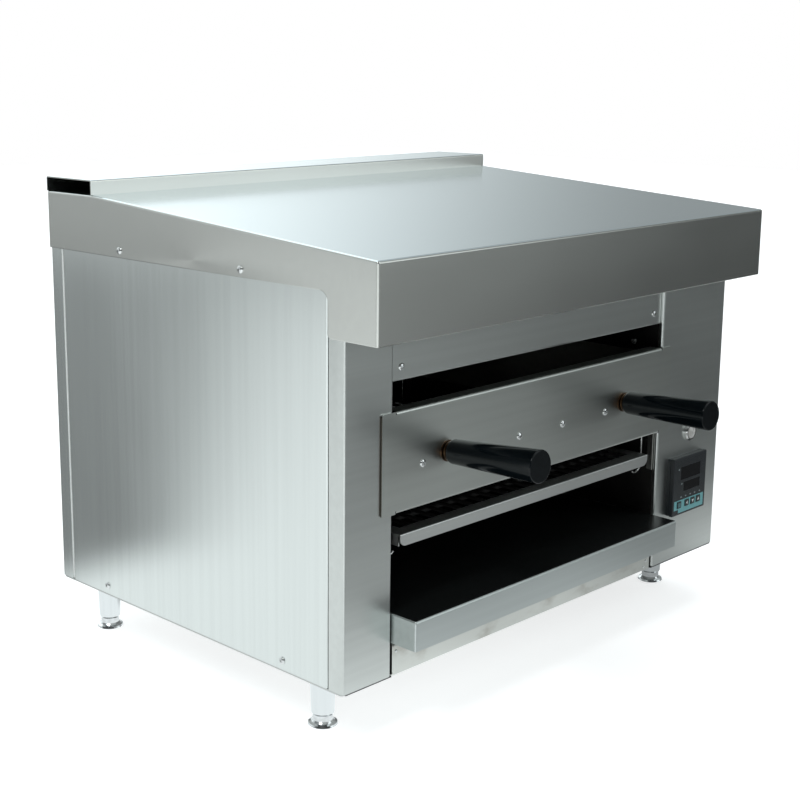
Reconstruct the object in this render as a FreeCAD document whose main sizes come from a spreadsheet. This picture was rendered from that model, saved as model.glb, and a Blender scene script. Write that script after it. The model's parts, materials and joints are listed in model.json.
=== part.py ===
import FreeCAD, Part
import os
import re
import sys

import Sketcher

# Electric salamander grill with a lift rack. The frame of every body is the cabinet's own:
# x to the right from the middle of the top cover, y to the rear from the front face of the
# stiles, z up from the underside of the panels. One placement, shared by all bodies, then
# puts the origin on the floor under the middle of the whole object.

doc = FreeCAD.newDocument("salamander_grill")

# Driving dimensions, in millimetres and degrees

SIZES = {
    # Where the cabinet stands in the part's frame
    "front_y": -186.5,
    "base_z": 59.5,
    # Sheet metal
    "skin": 1.2,
    "plate": 1.5,
    "bend": 2.6,
    "fit_gap": 0.3,
    # Top cover
    "hood_width": 660,
    "apron_y": -43,
    "hood_rear": 473,
    "hood_front_top": 424,
    "hood_rear_top": 454,
    "slope_end": 388,
    "apron_bottom": 346,
    "side_apron_bottom": 390,
    "drop_y": 21,
    "drop_round": 11,
    "apron_hem": 9,
    "flue_top": 470,
    # Outer panels
    "case_half": 328.5,
    "panel_front": 22.5,
    "panel_rear": 449,
    "rear_strip": 451,
    "rear_face": 471.3,
    "panel_top": 405,
    "panel_return": 13,
    "stile_return": 20.5,
    # Front opening: measured from its own middle, which lies left of the cabinet's
    "mid_x": -33.8,
    "open_half": 228.9,
    "opening_flange": 5.5,
    "stile_top": 418,
    "rail_top": 32,
    "fascia_y": 4,
    "fascia_bottom": 296.5,
    "pan_drop": 2,
    "rail_reach": 225,
    "rail_front": 1,
    "rail_back": 14,
    # Cavity
    "wall_half": 231.4,
    "wall_front": 5.5,
    "cavity_rear": 430,
    "cavity_top": 345,
    "slot_radius": 4.2,
    "slot_low": 183,
    "slot_high": 256,
    "slot_front_y": 72,
    "slot_rear_y": 372,
    # Lift carriage
    "front_low": 167,
    "front_high": 269,
    "ear_half": 246,
    "front_gap": 0.4,
    "front_flange": 14,
    "flange_half": 225.6,
    "side_half": 227.8,
    "side_low": 176,
    "side_high": 262,
    "drop_low": 120.5,
    "drop_front": 5.3,
    "drop_width": 7,
    "ledge_top": 129.6,
    "ledge_inner": 205,
    "carriage_rear": 416,
    "pin_radius": 4.0,
    "pin_z": 229,
    "screw_z": 211,
    "handle_half": 151,
    "handle_z": 217,
    "wire": 3,
    "hook_half": 224.8,
    "hook_tip_half": 203,
    "hook_low": 117,
    "hook_top": 186,
    # Handles
    "grip_length": 109.8,
    "grip_root": 12.5,
    "grip_tip": 16.3,
    "ferrule_length": 5.6,
    "left_rise": 3.3,
    "left_swing": 0,
    "right_rise": 2.3,
    "right_swing": 2,
    # Rack
    "rack_half": 213.5,
    "rack_front": 3.3,
    "rack_rear": 412,
    "rack_top": 142,
    "rack_flange": 16.5,
    "grid_wire": 4,
    "grid_rod": 6,
    "grid_pitch": 19.5,
    # Drip tray
    "tray_half": 227.9,
    "tray_front": -32,
    "tray_rear": 425,
    "tray_top": 65.5,
    "lip_bottom": 34.5,
    "tray_fall": 13.5,
    "tray_bottom": 45,
    # Control panel
    "ctrl_x": 255.5,
    "ctrl_z": 93.8,
    "ctrl_face": 72,
    "ctrl_case": 67,
    "ctrl_proud": 9,
    "ctrl_split": 4.6,
    "ctrl_depth": 82,
    "key_wide": 8.4,
    "key_high": 7.8,
    "key_gap": 0.3,
    "key_proud": 0.8,
    "lamp_x": 263,
    "lamp_z": 156,
    "lamp_ring": 11,
    "lamp_body": 7.8,
    # Feet
    "foot_x": 297,
    "foot_left_y": 61,
    "foot_right_y": 67,
    "foot_rear_y": 424,
    "sleeve_top_radius": 13.4,
    "sleeve_low_radius": 12.1,
    "sleeve_length": 45.5,
    "insert_radius": 10.5,
    "flange_radius": 15.4,
    "flange_high": 3,
    # Heating elements
    "element_radius": 4,
    "element_z": 318,
    "element_bend": 22,
    "element_left": -236,
    "element_right": 216,
    # Pan-head screw
    "head_radius": 4,
    "head_high": 2.2,
    "shank_radius": 2,
    "shank_long": 6,
}

sheet = doc.addObject("Spreadsheet::Sheet", "Sizes")
for row, (alias, number) in enumerate(SIZES.items(), start=1):
    sheet.set("A%d" % row, alias.replace("_", " "))
    sheet.set("B%d" % row, str(number))
    sheet.setAlias("B%d" % row, alias)
doc.recompute()


# Small helpers: a size is a number or an expression in the names above


def bound(size):
    """The expression as the document's properties read it."""
    return re.sub(r"[a-z][a-z_]+", lambda found: "Sizes." + found.group(0), str(size))


def value(size):
    """The number that an expression gives now."""
    if isinstance(size, (int, float)):
        return float(size)
    result = sheet.evalExpression(bound(size))
    return float(getattr(result, "Value", result))


def bind(item, path, size):
    """Tie one property of an object to an expression."""
    if isinstance(size, (int, float)):
        size = str(size)
    item.setExpression(path, bound(size))


def new_body(label):
    body = doc.addObject("PartDesign::Body", label)
    body.Label = label
    bind(body, "Placement.Base.y", "front_y")
    bind(body, "Placement.Base.z", "base_z")
    return body


PLANES = {"XY": "XY_Plane", "XZ": "XZ_Plane", "YZ": "YZ_Plane"}


def sketch_on(body, plane, at):
    """A sketch parallel to one of the body's planes, at a distance along its positive axis."""
    role = PLANES[plane]
    support = [item for item in body.Origin.OriginFeatures if item.Role == role][0]
    sketch = body.newObject("Sketcher::SketchObject", body.Label + "_sketch")
    sketch.AttachmentSupport = (support, [""])
    sketch.MapMode = "FlatFace"
    # the XZ plane's normal points to the front, along negative y
    sign = "-" if plane == "XZ" else ""
    bind(sketch, "AttachmentOffset.Base.z", "%s(%s)" % (sign, at))
    return sketch


def fix_point(sketch, geometry, corner, point):
    for kind, size in zip(("DistanceX", "DistanceY"), point):
        rule = Sketcher.Constraint(kind, -1, 1, geometry, corner, value(size))
        index = sketch.addConstraint(rule)
        if not isinstance(size, (int, float)):
            bind(sketch, "Constraints[%d]" % index, size)


def draw_outline(sketch, corners):
    """A closed outline of straight lines through the corners."""
    points = [FreeCAD.Vector(value(a), value(b), 0) for a, b in corners]
    first = sketch.GeometryCount
    count = len(points)
    for i in range(count):
        sketch.addGeometry(Part.LineSegment(points[i], points[(i + 1) % count]))
    for i in range(count):
        following = first + (i + 1) % count
        sketch.addConstraint(Sketcher.Constraint("Coincident", first + i, 2, following, 1))
    for i, corner in enumerate(corners):
        fix_point(sketch, first + i, 1, corner)


def draw_circle(sketch, centre, radius):
    where = FreeCAD.Vector(value(centre[0]), value(centre[1]), 0)
    circle = Part.Circle(where, FreeCAD.Vector(0, 0, 1), value(radius))
    index = sketch.addGeometry(circle)
    fix_point(sketch, index, 3, centre)
    rule = sketch.addConstraint(Sketcher.Constraint("Radius", index, value(radius)))
    bind(sketch, "Constraints[%d]" % rule, radius)


def draw_slot(sketch, centre, half_length, radius):
    """An upright slot with round ends."""
    x, y = value(centre[0]), value(centre[1])
    r, reach = value(radius), value(half_length)
    up = FreeCAD.Vector(0, 0, 1)
    half_turn = 3.141592653589793
    top = Part.Circle(FreeCAD.Vector(x, y + reach, 0), up, r)
    low = Part.Circle(FreeCAD.Vector(x, y - reach, 0), up, r)
    a = sketch.addGeometry(Part.ArcOfCircle(top, 0, half_turn))
    b = sketch.addGeometry(Part.ArcOfCircle(low, half_turn, 2 * half_turn))
    left, right = FreeCAD.Vector(x - r, y, 0), FreeCAD.Vector(x + r, y, 0)
    high, down = FreeCAD.Vector(0, reach, 0), FreeCAD.Vector(0, -reach, 0)
    c = sketch.addGeometry(Part.LineSegment(left + high, left + down))
    d = sketch.addGeometry(Part.LineSegment(right + down, right + high))
    for one, end, other, start in ((a, 2, c, 1), (c, 2, b, 1), (b, 2, d, 1), (d, 2, a, 1)):
        sketch.addConstraint(Sketcher.Constraint("Tangent", one, end, other, start))
    rule = sketch.addConstraint(Sketcher.Constraint("Radius", a, r))
    bind(sketch, "Constraints[%d]" % rule, radius)
    fix_point(sketch, a, 3, (centre[0], "(%s) + (%s)" % (centre[1], half_length)))
    fix_point(sketch, b, 3, (centre[0], "(%s) - (%s)" % (centre[1], half_length)))


def rectangle(x_low, x_high, y_low, y_high):
    return [(x_low, y_low), (x_high, y_low), (x_high, y_high), (x_low, y_high)]


def add_pad(body, plane, start, end, draw):
    """Material from start to end along the plane's axis; draw fills the sketch."""
    sketch = sketch_on(body, plane, start)
    draw(sketch)
    pad = body.newObject("PartDesign::Pad", body.Label + "_pad")
    pad.Profile = sketch
    pad.Reversed = plane == "XZ"
    bind(pad, "Length", "(%s) - (%s)" % (end, start))
    sketch.Visibility = False
    return pad


def cut_pocket(body, plane, start, end, draw):
    """Material taken away from start to end along the plane's axis."""
    before = tip_volume(body)
    sketch = sketch_on(body, plane, start)
    draw(sketch)
    pocket = body.newObject("PartDesign::Pocket", body.Label + "_pocket")
    pocket.Profile = sketch
    # a pocket runs against its sketch's normal, and the XZ plane's normal points to the front
    pocket.Reversed = plane != "XZ"
    bind(pocket, "Length", "(%s) - (%s)" % (end, start))
    if tip_volume(body) >= before - 0.01:
        sys.exit("a pocket in %s cuts nothing" % body.Label)
    return pocket


def tip_volume(body):
    doc.recompute()
    return body.Tip.Shape.Volume


def outline(corners):
    return lambda sketch: draw_outline(sketch, corners)


def circles(centres, radius):
    def draw(sketch):
        for centre in centres:
            draw_circle(sketch, centre, radius)

    return draw


def curve_kind(edge):
    """The type of an edge's curve; a blend between two fillets can have none."""
    try:
        return edge.Curve.TypeId
    except TypeError:
        return "none"


def along(edge, axis):
    """Whether an edge is straight and runs along the axis, 0 for x, 1 for y, 2 for z."""
    if curve_kind(edge) != "Part::GeomLine":
        return False
    direction = edge.tangentAt(edge.FirstParameter)
    return abs(abs(direction[axis]) - 1) < 1e-6


def round_edges(body, axis, places, radius, label="_round"):
    """Fillet the edges along an axis that pass through the places, given on the other two axes."""
    doc.recompute()
    base = body.Tip
    others = [i for i in range(3) if i != axis]
    wanted = [(value(a), value(b)) for a, b in places]
    names = []
    for number, edge in enumerate(base.Shape.Edges, start=1):
        if not along(edge, axis):
            continue
        point = edge.Vertexes[0].Point
        here = (point[others[0]], point[others[1]])
        if any(abs(here[0] - a) < 0.02 and abs(here[1] - b) < 0.02 for a, b in wanted):
            names.append("Edge%d" % number)
    if not names:
        sys.exit("no edge to round in %s" % body.Label)
    fillet = body.newObject("PartDesign::Fillet", body.Label + label)
    fillet.Base = (base, names)
    bind(fillet, "Radius", radius)
    doc.recompute()
    return fillet


def ring_edges(body, test, radius, kind="Fillet"):
    """Fillet or chamfer the round edges that the test picks by centre and radius."""
    doc.recompute()
    base = body.Tip
    names = []
    for number, edge in enumerate(base.Shape.Edges, start=1):
        if curve_kind(edge) == "Part::GeomCircle" and test(edge.Curve.Center, edge.Curve.Radius):
            names.append("Edge%d" % number)
    if not names:
        sys.exit("no round edge found in %s" % body.Label)
    feature = body.newObject("PartDesign::" + kind, body.Label + "_rim")
    feature.Base = (base, names)
    bind(feature, "Radius" if kind == "Fillet" else "Size", radius)
    doc.recompute()
    return feature


def revolve(body, corners, rounds=(), lean=None):
    """A turned piece: a half profile of (radius, height) corners about the body's z axis."""
    sketch = sketch_on(body, "XZ", 0)
    if lean:
        sketch.AttachmentOffset = FreeCAD.Placement(FreeCAD.Vector(0, 0, 0), lean)
    draw_outline(sketch, corners)
    turn = body.newObject("PartDesign::Revolution", body.Label + "_turn")
    turn.Profile = sketch
    turn.ReferenceAxis = (sketch, ["V_Axis"])
    turn.Angle = 360
    for centre_z, radius, size in rounds:
        z_wanted, r_wanted = value(centre_z), value(radius)

        def test(centre, found, z_wanted=z_wanted, r_wanted=r_wanted):
            return abs(centre.z - z_wanted) < 0.02 and abs(found - r_wanted) < 0.02

        ring_edges(body, test, size)
    return turn


# A bent strip: the outer face is a chain of corners, and the sheet lies on its inner side


def bent_strip(body, plane, start, end, outer, inner, sheet_size, radius="bend"):
    """Pad a folded sheet from start to end, then round the bends inside and out."""
    add_pad(body, plane, start, end, outline(outer + list(reversed(inner))))
    axis = {"XY": 2, "XZ": 1, "YZ": 0}[plane]
    round_edges(body, axis, outer[1:-1], radius)
    round_edges(body, axis, inner[1:-1], "(%s) - (%s)" % (radius, sheet_size), "_inner_round")


# Base, panels and covers of the cabinet


FOOT_PLACES = (("-foot_x", "foot_left_y"), ("foot_x", "foot_right_y"),
               ("-foot_x", "foot_rear_y"), ("foot_x", "foot_rear_y"))


def base_pan():
    """Floor of the cabinet, cut back at the front to make room for the bottom rail."""
    body = new_body("base_pan")
    front, rear = 3, "rear_face - plate - 0.2"
    left, right = "0.3 - case_half", "case_half - 0.3"
    rail_left, rail_right = "mid_x - rail_reach", "mid_x + rail_reach"
    ends = [(left, front), (right, front), (right, rear), (left, rear)]
    shape = [(left, front), (rail_left, front), (rail_left, "rail_back"), (rail_right, "rail_back")]
    shape += [(rail_right, front)] + ends[1:]
    add_pad(body, "XY", "-pan_drop", 0, outline(shape))
    round_edges(body, 2, ends, 3)
    cut_pocket(body, "XY", "-pan_drop", 0, circles(FOOT_PLACES, 5.2))
    first = cut_pocket(body, "XY", "-pan_drop", 0, outline(rectangle(216, 282, 100, 104)))
    repeat(body, first, "Y_Axis", 180, 16)
    return body


def repeat(body, feature, axis, length, count):
    """Repeat a feature along one of the body's axes."""
    direction = [item for item in body.Origin.OriginFeatures if item.Role == axis][0]
    pattern = body.newObject("PartDesign::LinearPattern", body.Label + "_row")
    pattern.Originals = [feature]
    pattern.Direction = (direction, [""])
    pattern.Length = length
    pattern.Occurrences = count
    body.Tip = pattern
    doc.recompute()
    return pattern


SIDE_SCREWS = (87, 381.5)
HOOD_SCREWS = (142, 339)
SIDE_SCREW_Z = 9.5
HOOD_SCREW_Z = 398


def screw_holes(body, x_low, x_high, places):
    cut_pocket(body, "YZ", x_low, x_high, circles(places, "shank_radius + 0.1"))


def side_panel(label, sign):
    """Outer skin with its front, rear and bottom edges bent inwards."""
    body = new_body(label)
    face = sign + "case_half"
    toward = "+" if sign == "-" else "-"
    lip = "%s %s panel_return" % (face, toward)
    inside = "%s %s skin" % (face, toward)
    outer = [(lip, "panel_front"), (face, "panel_front"), (face, "panel_rear"), (lip, "panel_rear")]
    inner = [(lip, "panel_front + skin"), (inside, "panel_front + skin")]
    inner += [(inside, "panel_rear - skin"), (lip, "panel_rear - skin")]
    bent_strip(body, "XY", 0, "panel_top", outer, inner, "skin")
    foot = rectangle(inside, lip, "panel_front + bend", "panel_rear - bend")
    add_pad(body, "XY", 0, "skin", outline(foot))
    holes = [(y, SIDE_SCREW_Z) for y in SIDE_SCREWS] + [(y, HOOD_SCREW_Z) for y in HOOD_SCREWS]
    low, high = ("-case_half", "skin - case_half") if sign == "-" else ("case_half - skin", "case_half")
    screw_holes(body, low, high, holes)
    return body


def rear_panel():
    """Rear skin: its sides wrap round the corners, with two columns of louvres."""
    body = new_body("rear_panel")
    outer = [("-case_half", "rear_strip"), ("-case_half", "rear_face")]
    outer += [("case_half", "rear_face"), ("case_half", "rear_strip")]
    inner = [("skin - case_half", "rear_strip"), ("skin - case_half", "rear_face - skin")]
    inner += [("case_half - skin", "rear_face - skin"), ("case_half - skin", "rear_strip")]
    bent_strip(body, "XY", 0, "panel_top", outer, inner, "skin")
    for x_low in (-245, 85):
        slot = outline(rectangle(x_low, x_low + 130, 250, 256))
        first = cut_pocket(body, "XZ", "rear_face - skin", "rear_face", slot)
        repeat(body, first, "Z_Axis", 99, 10)
        hood = outline(louvre_section(250))
        first = add_pad(body, "YZ", x_low, x_low + 130, hood)
        repeat(body, first, "Z_Axis", 99, 10)
    cut_pocket(body, "XZ", "rear_face - skin", "rear_face", circles([(262, 45)], 8.2))
    return body


def louvre_section(low):
    """Section of one pressed louvre: a lip that leans out over its slot."""
    root = low + 6
    return [("rear_face - skin", root), ("rear_face - skin", root + 1.2), ("rear_face", root + 1.2),
            ("rear_face + 4", root - 3), ("rear_face + 4", root - 4.2)]


def stile(label, sign):
    """A front channel: its sides wrap to the cabinet's side and into the opening."""
    body = new_body(label)
    edge = "mid_x %s open_half" % ("-" if sign == "-" else "+")
    away = "-" if sign == "-" else "+"
    toward = "+" if sign == "-" else "-"
    face = sign + "case_half"
    outer = [(face, "stile_return"), (face, 0), (edge, 0), (edge, "opening_flange")]
    inner = [("%s %s plate" % (face, toward), "stile_return"), ("%s %s plate" % (face, toward), "plate")]
    inner += [("%s %s plate" % (edge, away), "plate"), ("%s %s plate" % (edge, away), "opening_flange")]
    bent_strip(body, "XY", 0, "stile_top", outer, inner, "plate")
    return body


def control_panel():
    body = stile("control_panel", "+")
    half = "(ctrl_case / 2 + 0.5)"
    cutout = rectangle("ctrl_x - " + half, "ctrl_x + " + half, "ctrl_z - " + half, "ctrl_z + " + half)
    cut_pocket(body, "XZ", 0, "plate", outline(cutout))
    cut_pocket(body, "XZ", 0, "plate", circles([("lamp_x", "lamp_z")], "lamp_body + 0.2"))
    return body


def bottom_rail():
    """Front of the base, a shallow box open to the rear, under the tray's lip."""
    body = new_body("bottom_rail")
    left, right = "mid_x - rail_reach", "mid_x + rail_reach"
    face = rectangle(left, right, "-pan_drop", "rail_top")
    add_pad(body, "XZ", "rail_front", "rail_back", outline(face))
    round_edges(body, 0, [("rail_front", "rail_top"), ("rail_front", "-pan_drop")], "bend")
    round_edges(body, 2, [(left, "rail_front"), (right, "rail_front")], 1.6)
    inside = rectangle(left + " + plate", right + " - plate", "plate - pan_drop", "rail_top - plate")
    cut_pocket(body, "XZ", "rail_front + plate", "rail_back", outline(inside))
    return body


def upper_inner_fascia():
    """Plate that closes the opening above the lift carriage, its lower edge bent in."""
    body = new_body("upper_inner_fascia")
    back = "fascia_y + 11"
    outer = [(back, "stile_top"), ("fascia_y", "stile_top"), ("fascia_y", "fascia_bottom")]
    outer += [(back, "fascia_bottom")]
    inner = [(back, "stile_top - plate"), ("fascia_y + plate", "stile_top - plate")]
    inner += [("fascia_y + plate", "fascia_bottom + plate"), (back, "fascia_bottom + plate")]
    reach = "(open_half - 0.5)"
    bent_strip(body, "YZ", "mid_x - " + reach, "mid_x + " + reach, outer, inner, "plate")
    places = [("mid_x - 214", 310.5), ("mid_x + 214", 310.5)]
    cut_pocket(body, "XZ", "fascia_y", "fascia_y + plate", circles(places, "shank_radius + 0.1"))
    return body


def hood():
    """One folded cover: sloping top, deep front apron and side aprons that step down at the front."""
    body = new_body("hood")
    side = [("apron_y", "apron_bottom"), ("drop_y", "apron_bottom"), ("drop_y", "side_apron_bottom")]
    side += [("hood_rear", "side_apron_bottom"), ("hood_rear", "hood_rear_top")]
    side += [("slope_end", "hood_rear_top"), ("apron_y", "hood_front_top")]
    add_pad(body, "YZ", "-hood_width / 2", "hood_width / 2", outline(side))
    round_edges(body, 0, [("drop_y", "side_apron_bottom")], "drop_round")
    round_edges(body, 0, [("drop_y", "apron_bottom")], 4)
    half = "hood_width / 2"
    round_edges(body, 0, [("apron_y", "hood_front_top")], "bend")
    corners = [("-" + half, "apron_y"), (half, "apron_y"), ("-" + half, "hood_rear"), (half, "hood_rear")]
    round_edges(body, 2, corners, "bend")
    hollow = [("apron_y + skin", 300), ("hood_rear - skin", 300)]
    hollow += [("hood_rear - skin", "hood_rear_top - skin"), ("slope_end", "hood_rear_top - skin")]
    hollow.append(("apron_y + skin", "hood_front_top - skin"))
    cut_pocket(body, "YZ", "skin - hood_width / 2", "hood_width / 2 - skin", outline(hollow))
    inside = "hood_width / 2 - skin"
    hem = rectangle("-(%s)" % inside, inside, "apron_y + skin", "apron_y + apron_hem")
    add_pad(body, "XY", "apron_bottom", "apron_bottom + skin", outline(hem))
    round_edges(body, 0, [("apron_y", "apron_bottom")], 1)
    places = [(y, HOOD_SCREW_Z) for y in HOOD_SCREWS]
    screw_holes(body, "-hood_width / 2", "skin - hood_width / 2", places)
    screw_holes(body, "hood_width / 2 - skin", "hood_width / 2", places)
    vent = outline(rectangle(-290, -230, "slope_end + 30", "slope_end + 55"))
    first = cut_pocket(body, "XY", "hood_rear_top - skin", "hood_rear_top", vent)
    repeat(body, first, "X_Axis", 520, 7)
    return body


def flue_channel():
    """Channel along the rear of the top, open at both ends."""
    body = new_body("flue_channel")
    low = "hood_rear_top"
    outer = [("slope_end", low), ("slope_end", "flue_top"), ("hood_rear", "flue_top"), ("hood_rear", low)]
    inner = [("slope_end + skin", low), ("slope_end + skin", "flue_top - skin")]
    inner += [("hood_rear - skin", "flue_top - skin"), ("hood_rear - skin", low)]
    bent_strip(body, "YZ", "-hood_width / 2", "hood_width / 2", outer, inner, "skin", 2)
    return body


# Cavity

GUIDE_SLOT = ("(slot_low + slot_high) / 2", "(slot_high - slot_low) / 2")
ELEMENT_PLACES = (75, 165, 255, 345)
PROBE_PLACE = (210, 292)
WALL_SCREW = (40.7, 271)


def element_legs():
    return [("%s %s element_bend" % (y, way), "element_z") for y in ELEMENT_PLACES for way in "-+"]


def cavity_wall(label, sign):
    """Side wall of the cavity, with two upright slots for the carriage's guide pins."""
    body = new_body(label)
    inside = "mid_x %s wall_half" % sign
    outside = "mid_x %s (wall_half + skin)" % sign
    lip = "mid_x %s (wall_half + 14)" % sign
    outer = [(lip, "wall_front"), (inside, "wall_front"), (inside, "cavity_rear")]
    inner = [(lip, "wall_front + skin"), (outside, "wall_front + skin"), (outside, "cavity_rear")]
    bent_strip(body, "XY", 0, "cavity_top", outer, inner, "skin", 2)
    low, high = (outside, inside) if sign == "-" else (inside, outside)
    for y in ("slot_front_y", "slot_rear_y"):
        middle, reach = GUIDE_SLOT

        def slot(sketch, y=y, middle=middle, reach=reach):
            draw_slot(sketch, (y, middle), reach, "slot_radius")

        cut_pocket(body, "YZ", low, high, slot)
    screw_holes(body, low, high, [WALL_SCREW])
    if sign == "+":
        cut_pocket(body, "YZ", low, high, circles(element_legs(), "element_radius + 0.6"))
        cut_pocket(body, "YZ", low, high, circles([PROBE_PLACE], 2.7))
    return body


def flat_plate(label, corners, low, high):
    body = new_body(label)
    add_pad(body, "XY", low, high, outline(corners))
    return body


def cavity_back_wall():
    body = new_body("cavity_back_wall")
    reach = "(wall_half + skin)"
    shape = rectangle("mid_x - " + reach, "mid_x + " + reach, 0, "cavity_top")
    add_pad(body, "XZ", "cavity_rear", "cavity_rear + skin", outline(shape))
    return body


def cavity_ceiling():
    """Ceiling that reflects the heat down, over the heating elements."""
    reach = "(wall_half + skin)"
    shape = rectangle("mid_x - " + reach, "mid_x + " + reach, "wall_front", "cavity_rear + skin")
    return flat_plate("cavity_ceiling", shape, "cavity_top", "cavity_top + skin")


def insulation():
    reach = "(wall_half - 3)"
    shape = rectangle("mid_x - " + reach, "mid_x + " + reach, 22, "cavity_rear - 5")
    flat_plate("top_insulation", shape, "cavity_top + skin", "cavity_top + skin + 38")
    shape = rectangle("9 - case_half", -285, "panel_front + 18", "panel_rear - 25")
    flat_plate("side_insulation", shape, 12, "cavity_top - 10")


def heating_element(number, y):
    """Hairpin of round tube: two legs along x, one bend at the left, two terminals at the right."""
    body = new_body("heating_element_%d" % number)
    path = sketch_on(body, "XY", "element_z")
    reach = value("element_bend")
    left, right = value("element_left") + reach, value("element_right")
    front, rear = y - reach, y + reach
    vector = FreeCAD.Vector
    path.addGeometry(Part.LineSegment(vector(right, front, 0), vector(left, front, 0)))
    bend_circle = Part.Circle(vector(left, y, 0), vector(0, 0, 1), reach)
    half_turn = 3.141592653589793
    path.addGeometry(Part.ArcOfCircle(bend_circle, half_turn / 2, 3 * half_turn / 2))
    path.addGeometry(Part.LineSegment(vector(left, rear, 0), vector(right, rear, 0)))
    path.addConstraint(Sketcher.Constraint("Tangent", 0, 2, 1, 2))
    path.addConstraint(Sketcher.Constraint("Tangent", 1, 1, 2, 1))
    fix_point(path, 0, 1, ("element_right", "%s - element_bend" % y))
    fix_point(path, 2, 2, ("element_right", "%s + element_bend" % y))
    fix_point(path, 1, 3, ("element_left + element_bend", y))
    section = sketch_on(body, "YZ", "element_right")
    draw_circle(section, ("%s - element_bend" % y, "element_z"), "element_radius")
    tube = body.newObject("PartDesign::AdditivePipe", body.Label + "_tube")
    tube.Profile = section
    tube.Spine = path
    doc.recompute()
    ends = [("%s - element_bend" % y, "element_z"), ("%s + element_bend" % y, "element_z")]
    add_pad(body, "YZ", "element_right", "element_right + 11", circles(ends, 1.6))
    return body


def element_brackets():
    """Hanger plates under the ceiling, drilled for the elements' legs."""
    body = new_body("element_brackets")
    for x in (-215, -20):
        plate = rectangle(40, 380, "element_z - 10", "cavity_top")
        add_pad(body, "YZ", x, x + 1.5, outline(plate))
        flange = rectangle(40, 380, "cavity_top - 1.5", "cavity_top")
        add_pad(body, "YZ", x + 1.5, x + 13, outline(flange))
        cut_pocket(body, "YZ", x, x + 1.5, circles(element_legs(), "element_radius + 0.1"))
    return body


def tray_runners():
    """Angles on the cavity walls that carry the two sides of the tray."""
    body = new_body("tray_runners")
    for sign in "-+":
        wall = "mid_x %s wall_half" % sign
        lip = "mid_x %s (wall_half - 17)" % sign
        inner_wall = "mid_x %s (wall_half - plate)" % sign
        outer = [(lip, "tray_bottom"), (wall, "tray_bottom"), (wall, "tray_bottom - 16")]
        inner = [(lip, "tray_bottom - plate"), (inner_wall, "tray_bottom - plate")]
        inner += [(inner_wall, "tray_bottom - 16")]
        bent_strip(body, "XZ", 16, "tray_rear", outer, inner, "plate", 2)
    return body


# Control panel fittings

# offsets from the middle of the controller's face: left, right, low, high
WINDOW_PLACES = ((-20.2, 22.3, 7.9, 23.8), (-13.0, 22.3, -7.2, 4.3))
KEY_PLACES = (-21.6, -5.0, 7.9, 20.2)
KEY_ROW = -23.0
WINDOW_DEEP = 0.8
KEY_WELL = 4


def off(axis_name, amount):
    return "%s + (%s)" % (axis_name, amount)


def window_outline(place):
    left, right, low, high = place
    return rectangle(off("ctrl_x", left), off("ctrl_x", right), off("ctrl_z", low), off("ctrl_z", high))


def key_outline(x, margin):
    wide = "(key_wide / 2 + %s)" % margin
    high = "(key_high / 2 + %s)" % margin
    centre_x, centre_z = "(ctrl_x + (%s))" % x, "(ctrl_z + (%s))" % KEY_ROW
    return rectangle(centre_x + " - " + wide, centre_x + " + " + wide,
                     centre_z + " - " + high, centre_z + " + " + high)


def controller_bezel():
    """Square front of the temperature controller, with wells for its windows and keys."""
    body = new_body("controller_bezel")
    half = "ctrl_face / 2"
    shape = rectangle("ctrl_x - " + half, "ctrl_x + " + half, "ctrl_z - " + half, "ctrl_z + " + half)
    add_pad(body, "XZ", "-ctrl_proud", "-ctrl_split", outline(shape))
    round_edges(body, 1, shape, 2)
    # a narrow waist parts the front frame from the collar that lies on the panel
    for low, high, half_size in (("-ctrl_split", "0.9 - ctrl_split", "(ctrl_face / 2 - 1)"),
                                 ("0.9 - ctrl_split", 0, "(ctrl_face / 2 - 0.4)")):
        layer = rectangle("ctrl_x - " + half_size, "ctrl_x + " + half_size,
                          "ctrl_z - " + half_size, "ctrl_z + " + half_size)
        add_pad(body, "XZ", low, high, outline(layer))
        round_edges(body, 1, layer, 2)
    face = [("ctrl_x - " + half, "-ctrl_proud"), ("ctrl_x + " + half, "-ctrl_proud")]
    round_edges(body, 2, face, 1.2)
    for place in WINDOW_PLACES:
        cut_pocket(body, "XZ", "-ctrl_proud", "%s - ctrl_proud" % WINDOW_DEEP, outline(window_outline(place)))
    for x in KEY_PLACES:
        shape = outline(key_outline(x, "key_gap"))
        cut_pocket(body, "XZ", "-ctrl_proud", "%s - ctrl_proud" % KEY_WELL, shape)
    return body


def controller_windows():
    body = new_body("controller_windows")
    for place in WINDOW_PLACES:
        pane = outline(window_outline(place))
        add_pad(body, "XZ", "0.2 - ctrl_proud", "%s - ctrl_proud" % WINDOW_DEEP, pane)
    return body


def controller_key(number, x):
    """Sprung key: a cap proud of the face, free to sink into its well."""
    body = new_body("key_%d" % number)
    cap = key_outline(x, 0)
    add_pad(body, "XZ", "-ctrl_proud - key_proud", "1.6 - ctrl_proud", outline(cap))
    round_edges(body, 1, cap, 0.8)
    return body


def controller_housing():
    """Case of the controller behind the panel, with its terminal ledges at the rear."""
    body = new_body("controller_housing")
    half = "ctrl_case / 2"
    shape = rectangle("ctrl_x - " + half, "ctrl_x + " + half, "ctrl_z - " + half, "ctrl_z + " + half)
    add_pad(body, "XZ", 0, "ctrl_depth", outline(shape))
    round_edges(body, 1, shape, 1.5)
    for way in (-1, 1):
        middle = "ctrl_x + (%s)" % (22 * way)
        step = rectangle(middle + " - 8", middle + " + 8", "ctrl_z - 28", "ctrl_z + 28")
        cut_pocket(body, "XZ", "ctrl_depth - 6", "ctrl_depth", outline(step))
    return body


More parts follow.
